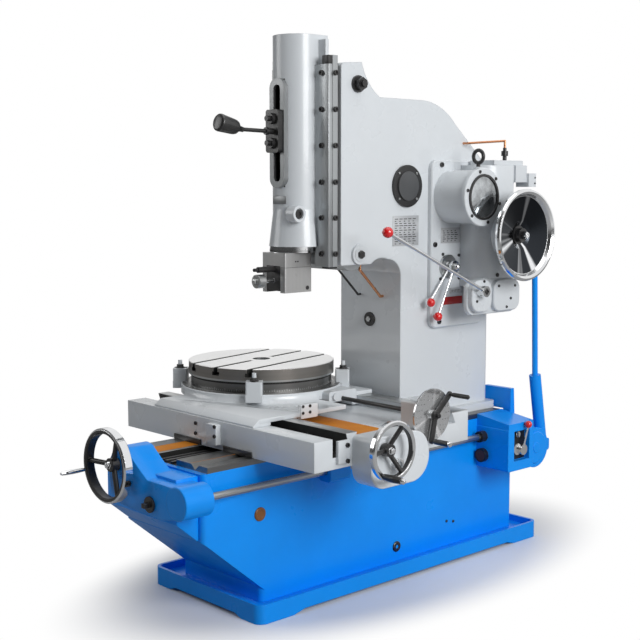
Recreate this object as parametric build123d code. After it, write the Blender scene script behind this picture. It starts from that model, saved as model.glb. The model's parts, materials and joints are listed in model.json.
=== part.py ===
"""Vertical slotting machine, modelled in millimetres with +Z up.

The origin is on the floor at the centre of the base flange. -Y is the front, +X the working side.
"""
import math
import os

from build123d import *

# base: a drip trough with the bed standing in it
FLANGE_X, FLANGE_Y, FLANGE_H = 682.0, 1716.0, 75.0
RIM_T, TROUGH_FLOOR = 14.0, 46.0
BED_X = 500.0
BED_REAR, BED_FOOT_FRONT, BED_FRONT = 774.0, -774.0, -1051.0
BED_TOP, WAY_H = 620.0, 24.0
FOOT_H, SLOPE = 109.0, 0.83
ANCHOR_DX, ANCHOR_DY, ANCHOR_R = 590.0, 1600.0, 11.0
ARCH_H, PAD_L = 14.0, 170.0

# longitudinal screw, front bracket and feed rod
SCREW_X, SCREW_Z = -60.0, 612.0
BRACKET_FRONT, BRACKET_REAR = -1198.0, -1075.0
FRONT_WHEEL_R, CROSS_WHEEL_R = 136.0, 113.0
ROD_X, ROD_Z, ROD_R = 290.0, 522.0, 14.0

# saddle and cross slide
SADDLE_X, SADDLE_FRONT, SADDLE_REAR = 588.0, -807.0, 42.0
SADDLE_TOP, WAY_TOP = 733.0, 745.0
WAY_Y0, WAY_Y1 = -694.0, -575.0
REAR_WAY_Y0 = -57.0
GEAR_Y0, GEAR_Y1, GEAR_Z0, GEAR_Z1 = -617.0, -304.0, 540.0, 735.0
CROSS_WHEEL_Y, CROSS_WHEEL_Z = -560.0, 691.0
TABLE_X, TABLE_Y, TABLE_R = -282.0, -316.0, 315.0
SHAFT_Y, SHAFT_Z, SHAFT_R = -198.0, 758.0, 9.0
PLATE_R, CRANK_LONG, CRANK_SHORT, CRANK_ANGLE = 104.0, 110.0, 48.0, 42.0
TABLE_TOP, TABLE_T = 897.0, 55.0
HOUSING_R, HOUSING_Z0, HOUSING_Z1 = 349.0, 760.0, 797.0
SLOT_PITCH, SLOT_W, SLOT_DEPTH = 150.0, 22.0, 34.0
SLOT_HEAD_W, SLOT_HEAD_H = 38.0, 16.0
SLOT_ANGLE = 102.5

# column and head
COL_HALF = 182.0
COL_FRONT, COL_REAR = 71.0, 677.0
HEAD_FRONT, HEAD_BOTTOM = -284.0, 1322.0
SLOT_HALF, SLOT_BACK = 150.0, -90.0

# gearbox on the column's right side
PLATE_T = 22.0
DRUM_Y, DRUM_Z = 366.0, 1597.0
WHEEL_Y, WHEEL_Z = 550.0, 1432.0
HUB_Y, HUB_Z, BALL_R = 345.0, 1293.0, 19.0
LONG_Y, LONG_Z, COVER_TOP = 367.0, 1193.0, 1240.0

# tilting ram guide
PIVOT_Y, PIVOT_Z, PIVOT_R = -184.0, 1365.0, 30.0
GUIDE_FRONT, GUIDE_REAR = -353.0, -303.0
GUIDE_Z0, GUIDE_Z1 = 1320.0, 2160.0
TONGUE_HALF, KEEPER_T = 145.0, 22.0
RAM_HALF, RAM_TOP, RAM_REAR = 100.0, 2245.0, -280.0
RAM_Z0, RAM_AXIS_Y = 1400.0, -355.0
FLANGE_HALF, RAM_FLANGE_T = 140.0, 18.0
HEAD_X, HEAD_Y0, HEAD_Y1, HEAD_Z0 = 70.0, -488.0, -341.0, 1215.0
CAVITY_HALF, CAVITY_DEEP, CAVITY_TOP = 42.0, 92.0, 1318.0

# clearances
SLIDE_GAP = 0.4
PIN_GAP = 0.05
FREE = 6.0


def box(x0, x1, y0, y1, z0, z1):
    """A block between two corners."""
    return Pos((x0 + x1) / 2, (y0 + y1) / 2, (z0 + z1) / 2) * Box(x1 - x0, y1 - y0, z1 - z0)


def cyl(p, r, length, axis="Z"):
    """A cylinder that starts at p and runs along an axis; a negative length runs the other way."""
    turn = {"X": Rot(0, 90, 0), "Y": Rot(-90, 0, 0), "Z": Rot(0, 0, 0)}[axis]
    return Pos(*p) * turn * Pos(0, 0, length / 2) * Cylinder(r, abs(length))


def cone(p, r0, r1, length, axis="Z"):
    """A cone from radius r0 at p to r1 at its far end."""
    turn = {"X": Rot(0, 90, 0), "Y": Rot(-90, 0, 0), "Z": Rot(0, 0, 0)}[axis]
    if length < 0:
        turn = turn * Rot(180, 0, 0)
    return Pos(*p) * turn * Pos(0, 0, abs(length) / 2) * Cone(r0, r1, abs(length))


def prism_x(points, x0, x1):
    """A (y, z) outline pulled from x0 to x1."""
    face = make_face(Polyline(*[(x0, y, z) for y, z in points], close=True))
    return extrude(face, amount=x1 - x0, dir=(1, 0, 0))


def prism_y(points, y0, y1):
    """An (x, z) outline pulled from y0 to y1."""
    face = make_face(Polyline(*[(x, y0, z) for x, z in points], close=True))
    return extrude(face, amount=y1 - y0, dir=(0, 1, 0))


def rounded(x0, x1, y0, y1, z0, z1, r, axis="Z"):
    """A block with its four edges along one axis rounded."""
    b = box(x0, x1, y0, y1, z0, z1)
    ax = {"X": Axis.X, "Y": Axis.Y, "Z": Axis.Z}[axis]
    return fillet(b.edges().filter_by(ax), r)


def rod_between(p, q, r):
    """A round rod from p to q."""
    v = Vector(*q) - Vector(*p)
    plane = Plane(origin=p, z_dir=v)
    return extrude(plane * Circle(r), amount=v.length)


def revolved(points, axis_point, axis="X"):
    """A ring or disc turned from an (along, radius) outline about an axis through axis_point."""
    face = make_face(Polyline(*[(a, r) for a, r in points], close=True))
    solid = revolve(Plane.XY * face, axis=Axis.X)
    turn = {"X": Rot(0, 0, 0), "Y": Rot(0, 0, 90), "-Y": Rot(0, 0, -90), "Z": Rot(0, -90, 0)}[axis]
    return Pos(*axis_point) * turn * solid


def ball(p, r):
    """A ball."""
    return Pos(*p) * Sphere(r)


def drip_trough():
    """The cast trough round the bed, standing on four corner pads."""
    fx, fy = FLANGE_X / 2, FLANGE_Y / 2
    tray = rounded(-fx, fx, -fy, fy, 0, FLANGE_H, 38)
    tray -= rounded(-fx + RIM_T, fx - RIM_T, -fy + RIM_T, fy - RIM_T, TROUGH_FLOOR, FLANGE_H + 5, 26)
    tray -= prism_x([(-fy + PAD_L, -1), (-fy + PAD_L + 60, ARCH_H), (fy - PAD_L - 60, ARCH_H),
                     (fy - PAD_L, -1)], -fx - 1, fx + 1)
    tray -= prism_y([(-fx + 110, -1), (-fx + 150, ARCH_H), (fx - 150, ARCH_H), (fx - 110, -1)],
                    -fy - 1, fy + 1)
    for sx in (-1, 1):
        for sy in (-1, 1):
            tray -= cyl((sx * ANCHOR_DX / 2, sy * ANCHOR_DY / 2, -1), ANCHOR_R, TROUGH_FLOOR + 2)
    return tray


def bed():
    """The bed: an undercut nose in front, two ways on top with a V in the right one."""
    half = BED_X / 2
    top = FOOT_H + SLOPE * (BED_FOOT_FRONT - BED_FRONT)
    body = prism_x([(BED_FOOT_FRONT, TROUGH_FLOOR), (BED_FOOT_FRONT, FOOT_H), (BED_FRONT, top),
                    (BED_FRONT, BED_TOP - WAY_H), (BED_REAR, BED_TOP - WAY_H), (BED_REAR, TROUGH_FLOOR)],
                   -half, half)
    body = fillet(body.edges().filter_by(Axis.Z), 22)
    body += box(-half, -70, BED_FRONT + 24, COL_REAR, BED_TOP - WAY_H - 4, BED_TOP)
    body += box(60, half, BED_FRONT + 24, COL_REAR, BED_TOP - WAY_H - 4, BED_TOP)
    groove = prism_y([(150, BED_TOP + 1), (176, BED_TOP - 20), (202, BED_TOP + 1)], BED_FRONT - 1, COL_FRONT)
    plugs = None
    for y, z, r in ((-778, 399, 26), (-16, 91 + 20, 22)):
        plug = cyl((half - 1, y, z), r, 5, "X")
        plugs = plug if plugs is None else plugs + plug
    return body - groove + plugs


def front_bracket():
    """The casting on the bed's nose that holds the screw and the feed rod."""
    pts = [(-125, 455), (-144, 600), (3, 655), (42, 629), (86, 610), (110, 582), (290, 582), (350, 522),
           (320, 468), (200, 446)]
    plate = prism_y(pts, BRACKET_FRONT, BRACKET_REAR)
    plate += cyl((SCREW_X, BRACKET_REAR, SCREW_Z), 84, BRACKET_FRONT - BRACKET_REAR, "Y")
    plate += cyl((ROD_X, BRACKET_REAR, ROD_Z), 62, BRACKET_FRONT - BRACKET_REAR, "Y")
    plate += box(-225, 225, -1150, BED_FRONT, 345, 590)
    z0 = FOOT_H + SLOPE * (BED_FOOT_FRONT - BED_FRONT)
    z1 = z0 + SLOPE * (BED_FRONT - (BRACKET_FRONT - 10))
    plate -= prism_x([(BED_FRONT + 1, z0 - 200), (BED_FRONT + 1, z0), (BRACKET_FRONT - 10, z1),
                      (BRACKET_FRONT - 10, z0 - 200)], -400, 400)
    plate += cyl((SCREW_X, BRACKET_FRONT, SCREW_Z), 46, -14, "Y")
    plate += cyl((130, BRACKET_FRONT, 491), 30, -10, "Y") + box(121, 139, BRACKET_FRONT - 34, BRACKET_FRONT, 482, 500)
    plate -= cyl((SCREW_X, BRACKET_REAR + 1, SCREW_Z), 16 + PIN_GAP, BRACKET_FRONT - BRACKET_REAR - 20, "Y")
    plate -= cyl((ROD_X, BRACKET_REAR + 1, ROD_Z), ROD_R + PIN_GAP, BRACKET_FRONT - BRACKET_REAR + 12, "Y")
    return plate


def feed_rod():
    """The splined rod that carries the feed from the rear gearbox to the front."""
    y0, y1 = BRACKET_FRONT + 16, 560.0
    rod = cyl((ROD_X, y0, ROD_Z), ROD_R, y1 - y0, "Y")
    for k in range(6):
        a = math.radians(k * 60)
        px, pz = ROD_X + ROD_R * math.cos(a), ROD_Z + ROD_R * math.sin(a)
        rod -= Pos(px, (BRACKET_REAR + 490) / 2 + 10, pz) * Rot(0, -k * 60, 0) * Box(4, 490 - BRACKET_REAR - 60, 6)
    return rod


def hand_wheel(r, rim_half, hub_r, hub_len, dish, shaft_r, shaft_len):
    """A dished three-spoke wheel along +X, its rim centred on the origin and its shaft running back."""
    inner = r - 20
    rim = revolved([(-rim_half, inner + 4), (-rim_half, r - 5), (5 - rim_half, r), (rim_half - 5, r), (rim_half, r - 5),
                    (rim_half, inner + 4), (rim_half - 5, inner), (5 - rim_half, inner)], (0, 0, 0), "X")
    hub = cyl((-dish - hub_len / 2, 0, 0), hub_r, hub_len, "X")
    wheel = rim + hub + cyl((-dish - hub_len / 2 + 1, 0, 0), shaft_r, -shaft_len, "X")
    for k in range(3):
        a = math.radians(60 + 120 * k)
        p = (-dish, (hub_r - 5) * math.cos(a), (hub_r - 5) * math.sin(a))
        q = (0, (inner + 6) * math.cos(a), (inner + 6) * math.sin(a))
        wheel += rod_between(p, q, 9)
    return wheel


def wheel_handle(length):
    """A turned crank handle that stands on a wheel's rim, along +X from the origin."""
    return revolved([(0, 0), (0, 7), (8, 7), (10, 11), (length * 0.55, 14), (length - 6, 11),
                     (length, 5), (length, 0)], (0, 0, 0), "X")


def front_handwheel():
    """The front wheel of the longitudinal feed."""
    wheel = hand_wheel(FRONT_WHEEL_R, 14, 26, 40, 40, 16, 90)
    a, r = math.radians(195), FRONT_WHEEL_R - 10
    wheel += Pos(10, r * math.cos(a), r * math.sin(a)) * wheel_handle(94)
    return Pos(SCREW_X, BRACKET_FRONT - 80, SCREW_Z) * Rot(0, 0, -90) * wheel


def saddle_profile():
    """The saddle's end view: a front rail, a deep channel and two dovetail ways."""
    lo, base = BED_TOP + SLIDE_GAP, 700.0
    return [(SADDLE_FRONT, lo), (SADDLE_FRONT, SADDLE_TOP), (-716, SADDLE_TOP), (-716, 664), (-684, 664),
            (-676, 706), (WAY_Y0, WAY_TOP), (WAY_Y1, WAY_TOP), (-593, 706), (-593, base),
            (REAR_WAY_Y0 + 18, base), (REAR_WAY_Y0 + 18, 706), (REAR_WAY_Y0, WAY_TOP),
            (SADDLE_REAR, WAY_TOP), (SADDLE_REAR, lo)]


def saddle():
    """The long saddle across the bed, with the ways of the cross slide on top."""
    body = prism_x(saddle_profile(), -SADDLE_X, SADDLE_X)
    for sx in (-1, 1):
        x0, x1 = sorted((sx * 262, sx * 600))
        body -= prism_y([(x0, BED_TOP - 5), (x0, BED_TOP + 26), (x1, BED_TOP + 26), (x1, BED_TOP - 5)],
                        SADDLE_FRONT + 22, SADDLE_REAR - 22)
    body += box(268 - 12, 318, -474, -364, 596, BED_TOP + 40)
    return body


def saddle_fittings():
    """The gib block on the saddle's front face and the bare plate on its right end."""
    return box(-128, -88, SADDLE_FRONT - 16, SADDLE_FRONT, 640, 722) + box(
        SADDLE_X, SADDLE_X + 14, -700, -640, 640, 725)


def rod_bracket():
    """The bracket under the saddle that rides on the feed rod."""
    y0, y1 = -474.0, -364.0
    b = rounded(ROD_X - 34, ROD_X + 34, y0, y1, ROD_Z - 42, 596, 16, "Y")
    return b - cyl((ROD_X, y0 - 1, ROD_Z), ROD_R + 0.4, y1 - y0 + 2, "Y")


def cross_feed_gearbox():
    """The rounded gearbox on the saddle's right end, with a bushing for a crank."""
    x, face = SADDLE_X, SADDLE_X + 102
    y0, y1, z0, z1 = GEAR_Y0, GEAR_Y1, GEAR_Z0, GEAR_Z1
    g = box(x, face, y0, y1, z0, z1)
    for edge, r in ((0, 70), (1, 20), (2, 95), (3, 90)):
        along = g.edges().filter_by(Axis.X)
        corner = [(y0, z0), (y0, z1), (y1, z0), (y1, z1)][edge]
        near = sorted(along, key=lambda e: math.dist((e.center().Y, e.center().Z), corner))[0]
        g = fillet(near, r)
    g = chamfer(g.faces().sort_by(Axis.X)[-1].edges(), 4)
    g += cyl((face - 1, CROSS_WHEEL_Y, CROSS_WHEEL_Z), 30, 5, "X")
    g += cyl((face - 1, -489, 622), 25, 19, "X")
    g -= cyl((face + 8, -489, 622), 14, 12, "X")
    g += box(face, face + 17, -495, -483, 616, 628)
    return g - cyl((face - 60, CROSS_WHEEL_Y, CROSS_WHEEL_Z), 14 + PIN_GAP, 70, "X")


def cross_handwheel():
    """The right-hand wheel of the cross feed."""
    wheel = hand_wheel(CROSS_WHEEL_R, 13, 24, 34, 25, 14, 60)
    a, r = math.radians(231), CROSS_WHEEL_R - 10
    wheel += Pos(9, r * math.cos(a), r * math.sin(a)) * wheel_handle(112)
    return Pos(SADDLE_X + 152, CROSS_WHEEL_Y, CROSS_WHEEL_Z) * wheel


def cross_slide():
    """The cross slide: a slab on the saddle's ways under a round housing."""
    b = WAY_TOP + SLIDE_GAP
    half = 330.0
    pts = [(-704, b), (-704, 762), (SADDLE_REAR - 4, 762), (SADDLE_REAR - 4, b), (REAR_WAY_Y0 - SLIDE_GAP, b),
           (REAR_WAY_Y0 + 16.4, 707), (REAR_WAY_Y0 - 22, 707), (REAR_WAY_Y0 - 40, b),
           (WAY_Y1 + 40, b), (WAY_Y1 + 22, 707), (-591.4, 707), (WAY_Y1 + SLIDE_GAP, b)]
    s = prism_x(pts, TABLE_X - half, TABLE_X + half)
    s += cyl((TABLE_X, TABLE_Y, HOUSING_Z0 - 6), HOUSING_R, HOUSING_Z1 - HOUSING_Z0 + 6)
    return s - cyl((TABLE_X - 80, SHAFT_Y, SHAFT_Z), SHAFT_R + SLIDE_GAP, 600, "X")


def table_clamps():
    """Four clamp blocks with T-bolts round the table."""
    out = None
    for k in range(4):
        one = rounded(322, 384, -34, 34, HOUSING_Z1, 855, 8) - box(300, 349, -40, 40, HOUSING_Z1 - 1, HOUSING_Z1)
        one += box(349, 384, -34, 34, 770, HOUSING_Z1 + 5) + cyl((356, 0, 855), 9, 34)
        one -= cyl((0, 0, HOUSING_Z1 - 60), HOUSING_R, 60)
        one = Pos(TABLE_X, TABLE_Y, 0) * Rot(0, 0, 45 + 90 * k) * one
        out = one if out is None else out + one
    return out


def rotary_table():
    """The round table with three T-slots and a centre recess."""
    z0 = TABLE_TOP - TABLE_T
    t = cyl((0, 0, HOUSING_Z1 + SLIDE_GAP), 305, z0 - HOUSING_Z1) + cyl((0, 0, z0), TABLE_R, TABLE_T)
    t = chamfer(t.edges().filter_by(GeomType.CIRCLE).group_by(Axis.Z)[-1], 2)
    for k in (-1, 0, 1):
        y = k * SLOT_PITCH
        for x0, x1 in ([(-400, 400)] if k else [(-400, -70), (70, 400)]):
            t -= box(x0, x1, y - SLOT_W / 2, y + SLOT_W / 2, TABLE_TOP - SLOT_DEPTH, TABLE_TOP + 1)
            t -= box(x0, x1, y - SLOT_HEAD_W / 2, y + SLOT_HEAD_W / 2, TABLE_TOP - SLOT_DEPTH,
                     TABLE_TOP - SLOT_DEPTH + SLOT_HEAD_H)
    t -= cyl((0, 0, TABLE_TOP - 30), 38, 31)
    return Pos(TABLE_X, TABLE_Y, 0) * Rot(0, 0, SLOT_ANGLE) * t


def rotary_feed_box():
    """The small gearbox on the cross slide's right side, with its knob."""
    x = TABLE_X + HOUSING_R
    b = rounded(x - 60, x + 40, SHAFT_Y - 80, SHAFT_Y + 80, 740 + 8, 792, 12, "X")
    b = b - cyl((TABLE_X, TABLE_Y, 700), HOUSING_R, 200) - box(x - 90, TABLE_X + 330, -400, 0, 700, 762)
    b += cyl((x + 40, SHAFT_Y - 50, 770), 14, 12, "X")
    return b - cyl((x - 90, SHAFT_Y, SHAFT_Z), SHAFT_R + SLIDE_GAP, 200, "X")


def index_shaft():
    """The long shaft that carries the dividing crank's turn to the cross slide."""
    return cyl((80, SHAFT_Y, SHAFT_Z), SHAFT_R, SADDLE_X + 6 - 80, "X")


def index_plate():
    """The dividing plate with rings of holes, on its block at the saddle's right end."""
    y, z = SHAFT_Y, SHAFT_Z
    block = rounded(SADDLE_X - 88, SADDLE_X, y - 64, y + 64, 700, z + 58, 14, "X")
    stand = box(SADDLE_X, SADDLE_X + 12, y - 40, y + 40, 640, z) + cyl((SADDLE_X, y, z), 40, 12, "X")
    plate = cyl((SADDLE_X + 12, y, z), PLATE_R, 8, "X")
    for r, n in ((PLATE_R - 10, 24), (PLATE_R - 24, 20), (PLATE_R - 38, 16)):
        for k in range(n):
            a = math.radians(k * 360 / n)
            plate -= cyl((SADDLE_X + 15, y + r * math.cos(a), z + r * math.sin(a)), 2.5, 6, "X")
    hub = cyl((SADDLE_X + 20, y, z), 20, 10, "X")
    return block + stand + plate + hub - cyl((SADDLE_X - 90, y, z), SHAFT_R + PIN_GAP, 130, "X")


def index_crank():
    """The two-armed crank that turns over the dividing plate."""
    y, z = SHAFT_Y, SHAFT_Z
    x, turn = SADDLE_X + 30 + SLIDE_GAP, math.radians(CRANK_ANGLE)
    c = cyl((SADDLE_X + 6, y, z), SHAFT_R, 52, "X") + cyl((x, y, z), 17, 14, "X")
    arm = fillet(Box(10, CRANK_LONG + CRANK_SHORT + 24, 22).edges().filter_by(Axis.X), 10.5)
    c += Pos(x + 5, y, z) * Rot(CRANK_ANGLE, 0, 0) * Pos(0, (CRANK_LONG - CRANK_SHORT) / 2, 0) * arm
    for reach, r, length in ((CRANK_LONG, 9, 95), (-CRANK_SHORT, 11, 84)):
        p = (x + 9, y + reach * math.cos(turn), z + reach * math.sin(turn))
        c += cyl(p, r - 3, 12, "X") + cyl((p[0] + 12, p[1], p[2]), r, length - 12, "X")
    return c


def column():
    """The column: rounded back, flat sides and a forked head that reaches out over the table."""
    y1 = COL_REAR
    with BuildPart() as p:
        with BuildSketch(Plane.YZ.offset(-COL_HALF)):
            with BuildLine():
                Polyline((COL_FRONT, BED_TOP), (COL_FRONT, 1275))
                ThreePointArc((COL_FRONT, 1275), (40, 1322), (-8, 1338))
                ThreePointArc((-8, 1338), (-62, 1344), (-110, HEAD_BOTTOM))
                Polyline((-110, HEAD_BOTTOM), (HEAD_FRONT + 8, HEAD_BOTTOM))
                ThreePointArc((HEAD_FRONT + 8, HEAD_BOTTOM), (HEAD_FRONT + 2, 1324), (HEAD_FRONT, 1330))
                Polyline((HEAD_FRONT, 1330), (HEAD_FRONT, 2118))
                ThreePointArc((HEAD_FRONT, 2118), (HEAD_FRONT + 6, 2130), (HEAD_FRONT + 20, 2136))
                Polyline((HEAD_FRONT + 20, 2136), (-168, 2143))
                ThreePointArc((-168, 2143), (-126, 2062), (-62, 2008))
                Polyline((-62, 2008), (182, 2008))
                ThreePointArc((182, 2008), (305, 1987), (418, 1911))
                Polyline((418, 1911), (640, 1730))
                ThreePointArc((640, 1730), (667, 1702), (y1, 1664))
                Polyline((y1, 1664), (y1, BED_TOP), (COL_FRONT, BED_TOP))
            make_face()
        extrude(amount=2 * COL_HALF)
    col = p.part
    col &= rounded(-COL_HALF, COL_HALF, HEAD_FRONT - 200, y1, BED_TOP, 2200, 40)
    col -= box(-SLOT_HALF, SLOT_HALF, HEAD_FRONT - 5, SLOT_BACK, HEAD_BOTTOM - 5, 2200)
    col += rounded(-COL_HALF - 26, COL_HALF + 26, COL_FRONT + 2, y1 + 18, BED_TOP, BED_TOP + 34, 20)
    return col - cyl((-COL_HALF - 1, PIVOT_Y, PIVOT_Z), PIVOT_R, 2 * COL_HALF + 2, "X")


def tilt_pin():
    """The pin the ram guide tilts on, with a boss on each cheek."""
    p = cyl((-COL_HALF - 14, PIVOT_Y, PIVOT_Z), PIVOT_R, 2 * COL_HALF + 28, "X")
    for sx in (-1, 1):
        p += cyl((sx * COL_HALF, PIVOT_Y, PIVOT_Z), 42, sx * 12, "X")
    return p


def hexagon(p, across, length, axis="X"):
    """A hexagon head along X."""
    return Pos(*p) * Rot(0, 90, 0) * extrude(RegularPolygon(across / math.sqrt(3), 6), amount=length)


def tilt_nut():
    """The stepped nut that locks the tilt, on the head's right cheek."""
    p = (COL_HALF, -193, 2054)
    return cyl(p, 34, 10, "X") + hexagon((COL_HALF + 10, -193, 2054), 46, 24) + cyl((COL_HALF + 34, -193, 2054), 14, 12, "X")


def column_cover():
    """The round cover on the column's right side."""
    p = (COL_HALF, 102, 1644)
    return cyl(p, 89, 10, "X") + cyl((COL_HALF + 10, 102, 1644), 62, 6, "X")


def front_cap():
    """The round cap on the column's front."""
    return cyl((0, COL_FRONT, 1190), 34, -8, "Y")


def oil_pipe(x, r, drop):
    """A bent oil pipe from under the head to the column's front face."""
    pts = [(x, -70, 1341), (x, -70, 1300), (x, COL_FRONT - 40, 1250 - drop), (x, COL_FRONT, 1248 - drop)]
    path = Polyline(*pts)
    return sweep(Plane(origin=pts[0], z_dir=(0, 0, -1)) * Circle(r), path=path, transition=Transition.ROUND)


def ram_guide():
    """The tilting guide: a slideway block with a tongue that hangs between the cheeks."""
    g = box(-COL_HALF, COL_HALF, GUIDE_FRONT + KEEPER_T, GUIDE_REAR, GUIDE_Z0, GUIDE_Z1)
    g += prism_x([(GUIDE_REAR - 1, GUIDE_Z0), (GUIDE_REAR - 1, GUIDE_Z1 - 30), (-230, GUIDE_Z1 - 60), (-184, 1980),
                  (-184 + 60, 1500), (-184 + 60, PIVOT_Z), (-184, GUIDE_Z0)], -TONGUE_HALF, TONGUE_HALF)
    g += cyl((-TONGUE_HALF, PIVOT_Y, PIVOT_Z), 70, 2 * TONGUE_HALF, "X")
    g -= box(-RAM_HALF - SLIDE_GAP, RAM_HALF + SLIDE_GAP, GUIDE_FRONT - 1, RAM_REAR + SLIDE_GAP, 1200, 2300)
    g -= box(-FLANGE_HALF - SLIDE_GAP, FLANGE_HALF + SLIDE_GAP, GUIDE_FRONT - 1,
             GUIDE_FRONT + KEEPER_T + RAM_FLANGE_T + 2 * SLIDE_GAP, 1200, 2300)
    return g - cyl((-200, PIVOT_Y, PIVOT_Z), PIVOT_R + PIN_GAP, 400, "X")


def keepers():
    """The two strips that hold the ram in its guide."""
    y0, y1 = GUIDE_FRONT, GUIDE_FRONT + KEEPER_T
    x0 = RAM_HALF + SLIDE_GAP
    return box(x0, COL_HALF, y0, y1, GUIDE_Z0, GUIDE_Z1) + box(-COL_HALF, -x0, y0, y1, GUIDE_Z0, GUIDE_Z1)


def ram_flare():
    """The cone at the ram's lower end."""
    return cone((0, RAM_AXIS_Y, RAM_Z0), 118, RAM_HALF, 150)


def ram():
    """The ram: round in front, flanged behind, flared at its lower end."""
    z0, z1 = RAM_Z0 + 20, RAM_TOP
    r = cyl((0, RAM_AXIS_Y, z0), RAM_HALF, z1 - z0)
    r += box(-RAM_HALF, RAM_HALF, RAM_AXIS_Y, RAM_REAR, z0, z1)
    r -= box(-RAM_HALF, RAM_HALF, RAM_REAR, RAM_REAR + 60, z0 - 1, z1 + 1)
    y0 = GUIDE_FRONT + KEEPER_T + SLIDE_GAP
    r += box(-FLANGE_HALF, FLANGE_HALF, y0, y0 + RAM_FLANGE_T, z0, z1 - 20)
    flare = ram_flare()
    flare -= box(-150, 150, GUIDE_FRONT - FREE, -200, RAM_Z0 - 5, RAM_Z0 + 160)
    r += flare
    r -= box(-30, 30, RAM_AXIS_Y - RAM_HALF - 5, RAM_AXIS_Y - RAM_HALF + 40, 1650, 2060)
    return r


def slot_plate():
    """The slotted plate on the ram's front."""
    y0, y1 = RAM_AXIS_Y - RAM_HALF - 12, RAM_AXIS_Y - RAM_HALF + 18
    outer = rounded(-44, 44, y0, y1, 1636, 2073, 40, "Y")
    inner = rounded(-20, 20, y0 - 1, y1 + 1, 1662, 2047, 18, "Y")
    return outer - inner - cyl((0, RAM_AXIS_Y, 1600), RAM_HALF, 500)


def ram_clamp():
    """The clamp pad with two studs over the slot."""
    y = RAM_AXIS_Y - RAM_HALF - 12
    c = rounded(-38, 38, y - 26, y, 1777, 1948, 12, "Y")
    for z in (1815, 1912):
        c += cyl((0, y - 26, z), 22, -14, "Y") + cyl((0, y - 40, z), 11, -16, "Y")
    return c + cyl((0, y - 1, 1862), 17, 44, "Y") + cyl((0, y - 26, 1862), 12, -22, "Y")


def clamp_lever():
    """The lever that locks the ram's place, with a bell-shaped knob."""
    y = RAM_AXIS_Y - RAM_HALF - 12 - 48 - SLIDE_GAP
    lev = cyl((0, y, 1862), 15, -14, "Y") + rod_between((0, y - 8, 1862), (-10, y - 222, 1884), 7)
    return lev + cone((-10, y - 216, 1884), 12, 24, -44, "Y")


def ram_boss():
    """The boss with a square socket on the ram's right side."""
    z = 1533.0
    b = cyl((40, -441, z), 24, 74, "X") - cyl((0, RAM_AXIS_Y, z - 40), RAM_HALF, 80) - ram_flare()
    return b - box(106, 120, -449, -433, z - 8, z + 8)


def graduated_ring():
    """The graduated ring between the ram and the tool head."""
    return cyl((0, RAM_AXIS_Y - 20, 1376), 100, 24) - box(-200, 200, GUIDE_FRONT - FREE, 0, 1300, 1450)


def tool_head():
    """The square tool head with its clamp cavity."""
    h = rounded(-HEAD_X, HEAD_X, HEAD_Y0, HEAD_Y1, HEAD_Z0, 1376, 6)
    h -= box(-CAVITY_HALF, CAVITY_HALF, HEAD_Y0 - 1, HEAD_Y0 + CAVITY_DEEP, HEAD_Z0 - 1, CAVITY_TOP)
    h -= cyl((HEAD_X - 20, -420, 1290), 9, 30, "X")
    return h


def tool_clamp():
    """The strap across the tool head's cavity and its two clamp screws."""
    strap = box(-CAVITY_HALF, CAVITY_HALF, HEAD_Y0, HEAD_Y0 + 24, 1222, 1312)
    for z in (1290, 1242):
        strap += cyl((0, HEAD_Y0 + 46, z), 17, -82, "Y")
    return strap


def gearbox_plate():
    """The mounting plate of the gearbox on the column's side."""
    x0, x1 = COL_HALF, COL_HALF + PLATE_T
    plate = rounded(x0, x1, 240, 600, 1024, 1756, 40, "X")
    return chamfer(plate.faces().sort_by(Axis.X)[-1].edges(), 5)


def speed_gearbox():
    """The gearbox: a lying drum with the sight window and an upright rounded housing behind it."""
    x = COL_HALF + PLATE_T
    g = cyl((x, DRUM_Y, DRUM_Z), 115, 166, "X") + cyl((x + 166, DRUM_Y, DRUM_Z), 125, 18, "X")
    house = box(x, 360, 430, 620, COVER_TOP + 1, 1735)
    house = fillet(house.edges().filter_by(Axis.Z).group_by(Axis.X)[-1].sort_by(Axis.Y)[0], 100)
    g += fillet(house.edges().filter_by(Axis.Z).group_by(Axis.X)[-1].sort_by(Axis.Y)[-1], 20)
    low = rounded(275, 345, 316, 662, 1085, COVER_TOP - 2, 45, "X")
    g += fillet(low.faces().sort_by(Axis.X)[-1].edges(), 8)
    g += rounded(x, 276, 372, 600, 1095, COVER_TOP - 2, 40, "X") + box(x, 340, 430, 600, COVER_TOP - 40, COVER_TOP + 4)
    g += cyl((360, WHEEL_Y, WHEEL_Z), 92, 30, "X") + cyl((335, 391, 1690), 20, 36)
    g -= cyl((x + 176, DRUM_Y, DRUM_Z), 97, 20, "X")
    return g - cyl((310, WHEEL_Y, WHEEL_Z), 17 + PIN_GAP, 90, "X")


def gearbox_covers():
    """The two rounded covers low on the gearbox."""
    left = rounded(345, 372, 320, 454, 1100, COVER_TOP, 48, "X")
    right = rounded(345, 366, 474, 658, 1094, 1232, 44, "X")
    left = chamfer(left.faces().sort_by(Axis.X)[-1].edges(), 4)
    right = chamfer(right.faces().sort_by(Axis.X)[-1].edges(), 4)
    return left + right - cyl((340, LONG_Y, LONG_Z), 14 + PIN_GAP, 50, "X")


def hub_flange():
    """The round flange that the two short levers turn on."""
    x = COL_HALF + PLATE_T
    f = cyl((x, HUB_Y, HUB_Z), 52, 11, "X") + cyl((x + 11, HUB_Y, HUB_Z), 17, 49, "X")
    return f


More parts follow.
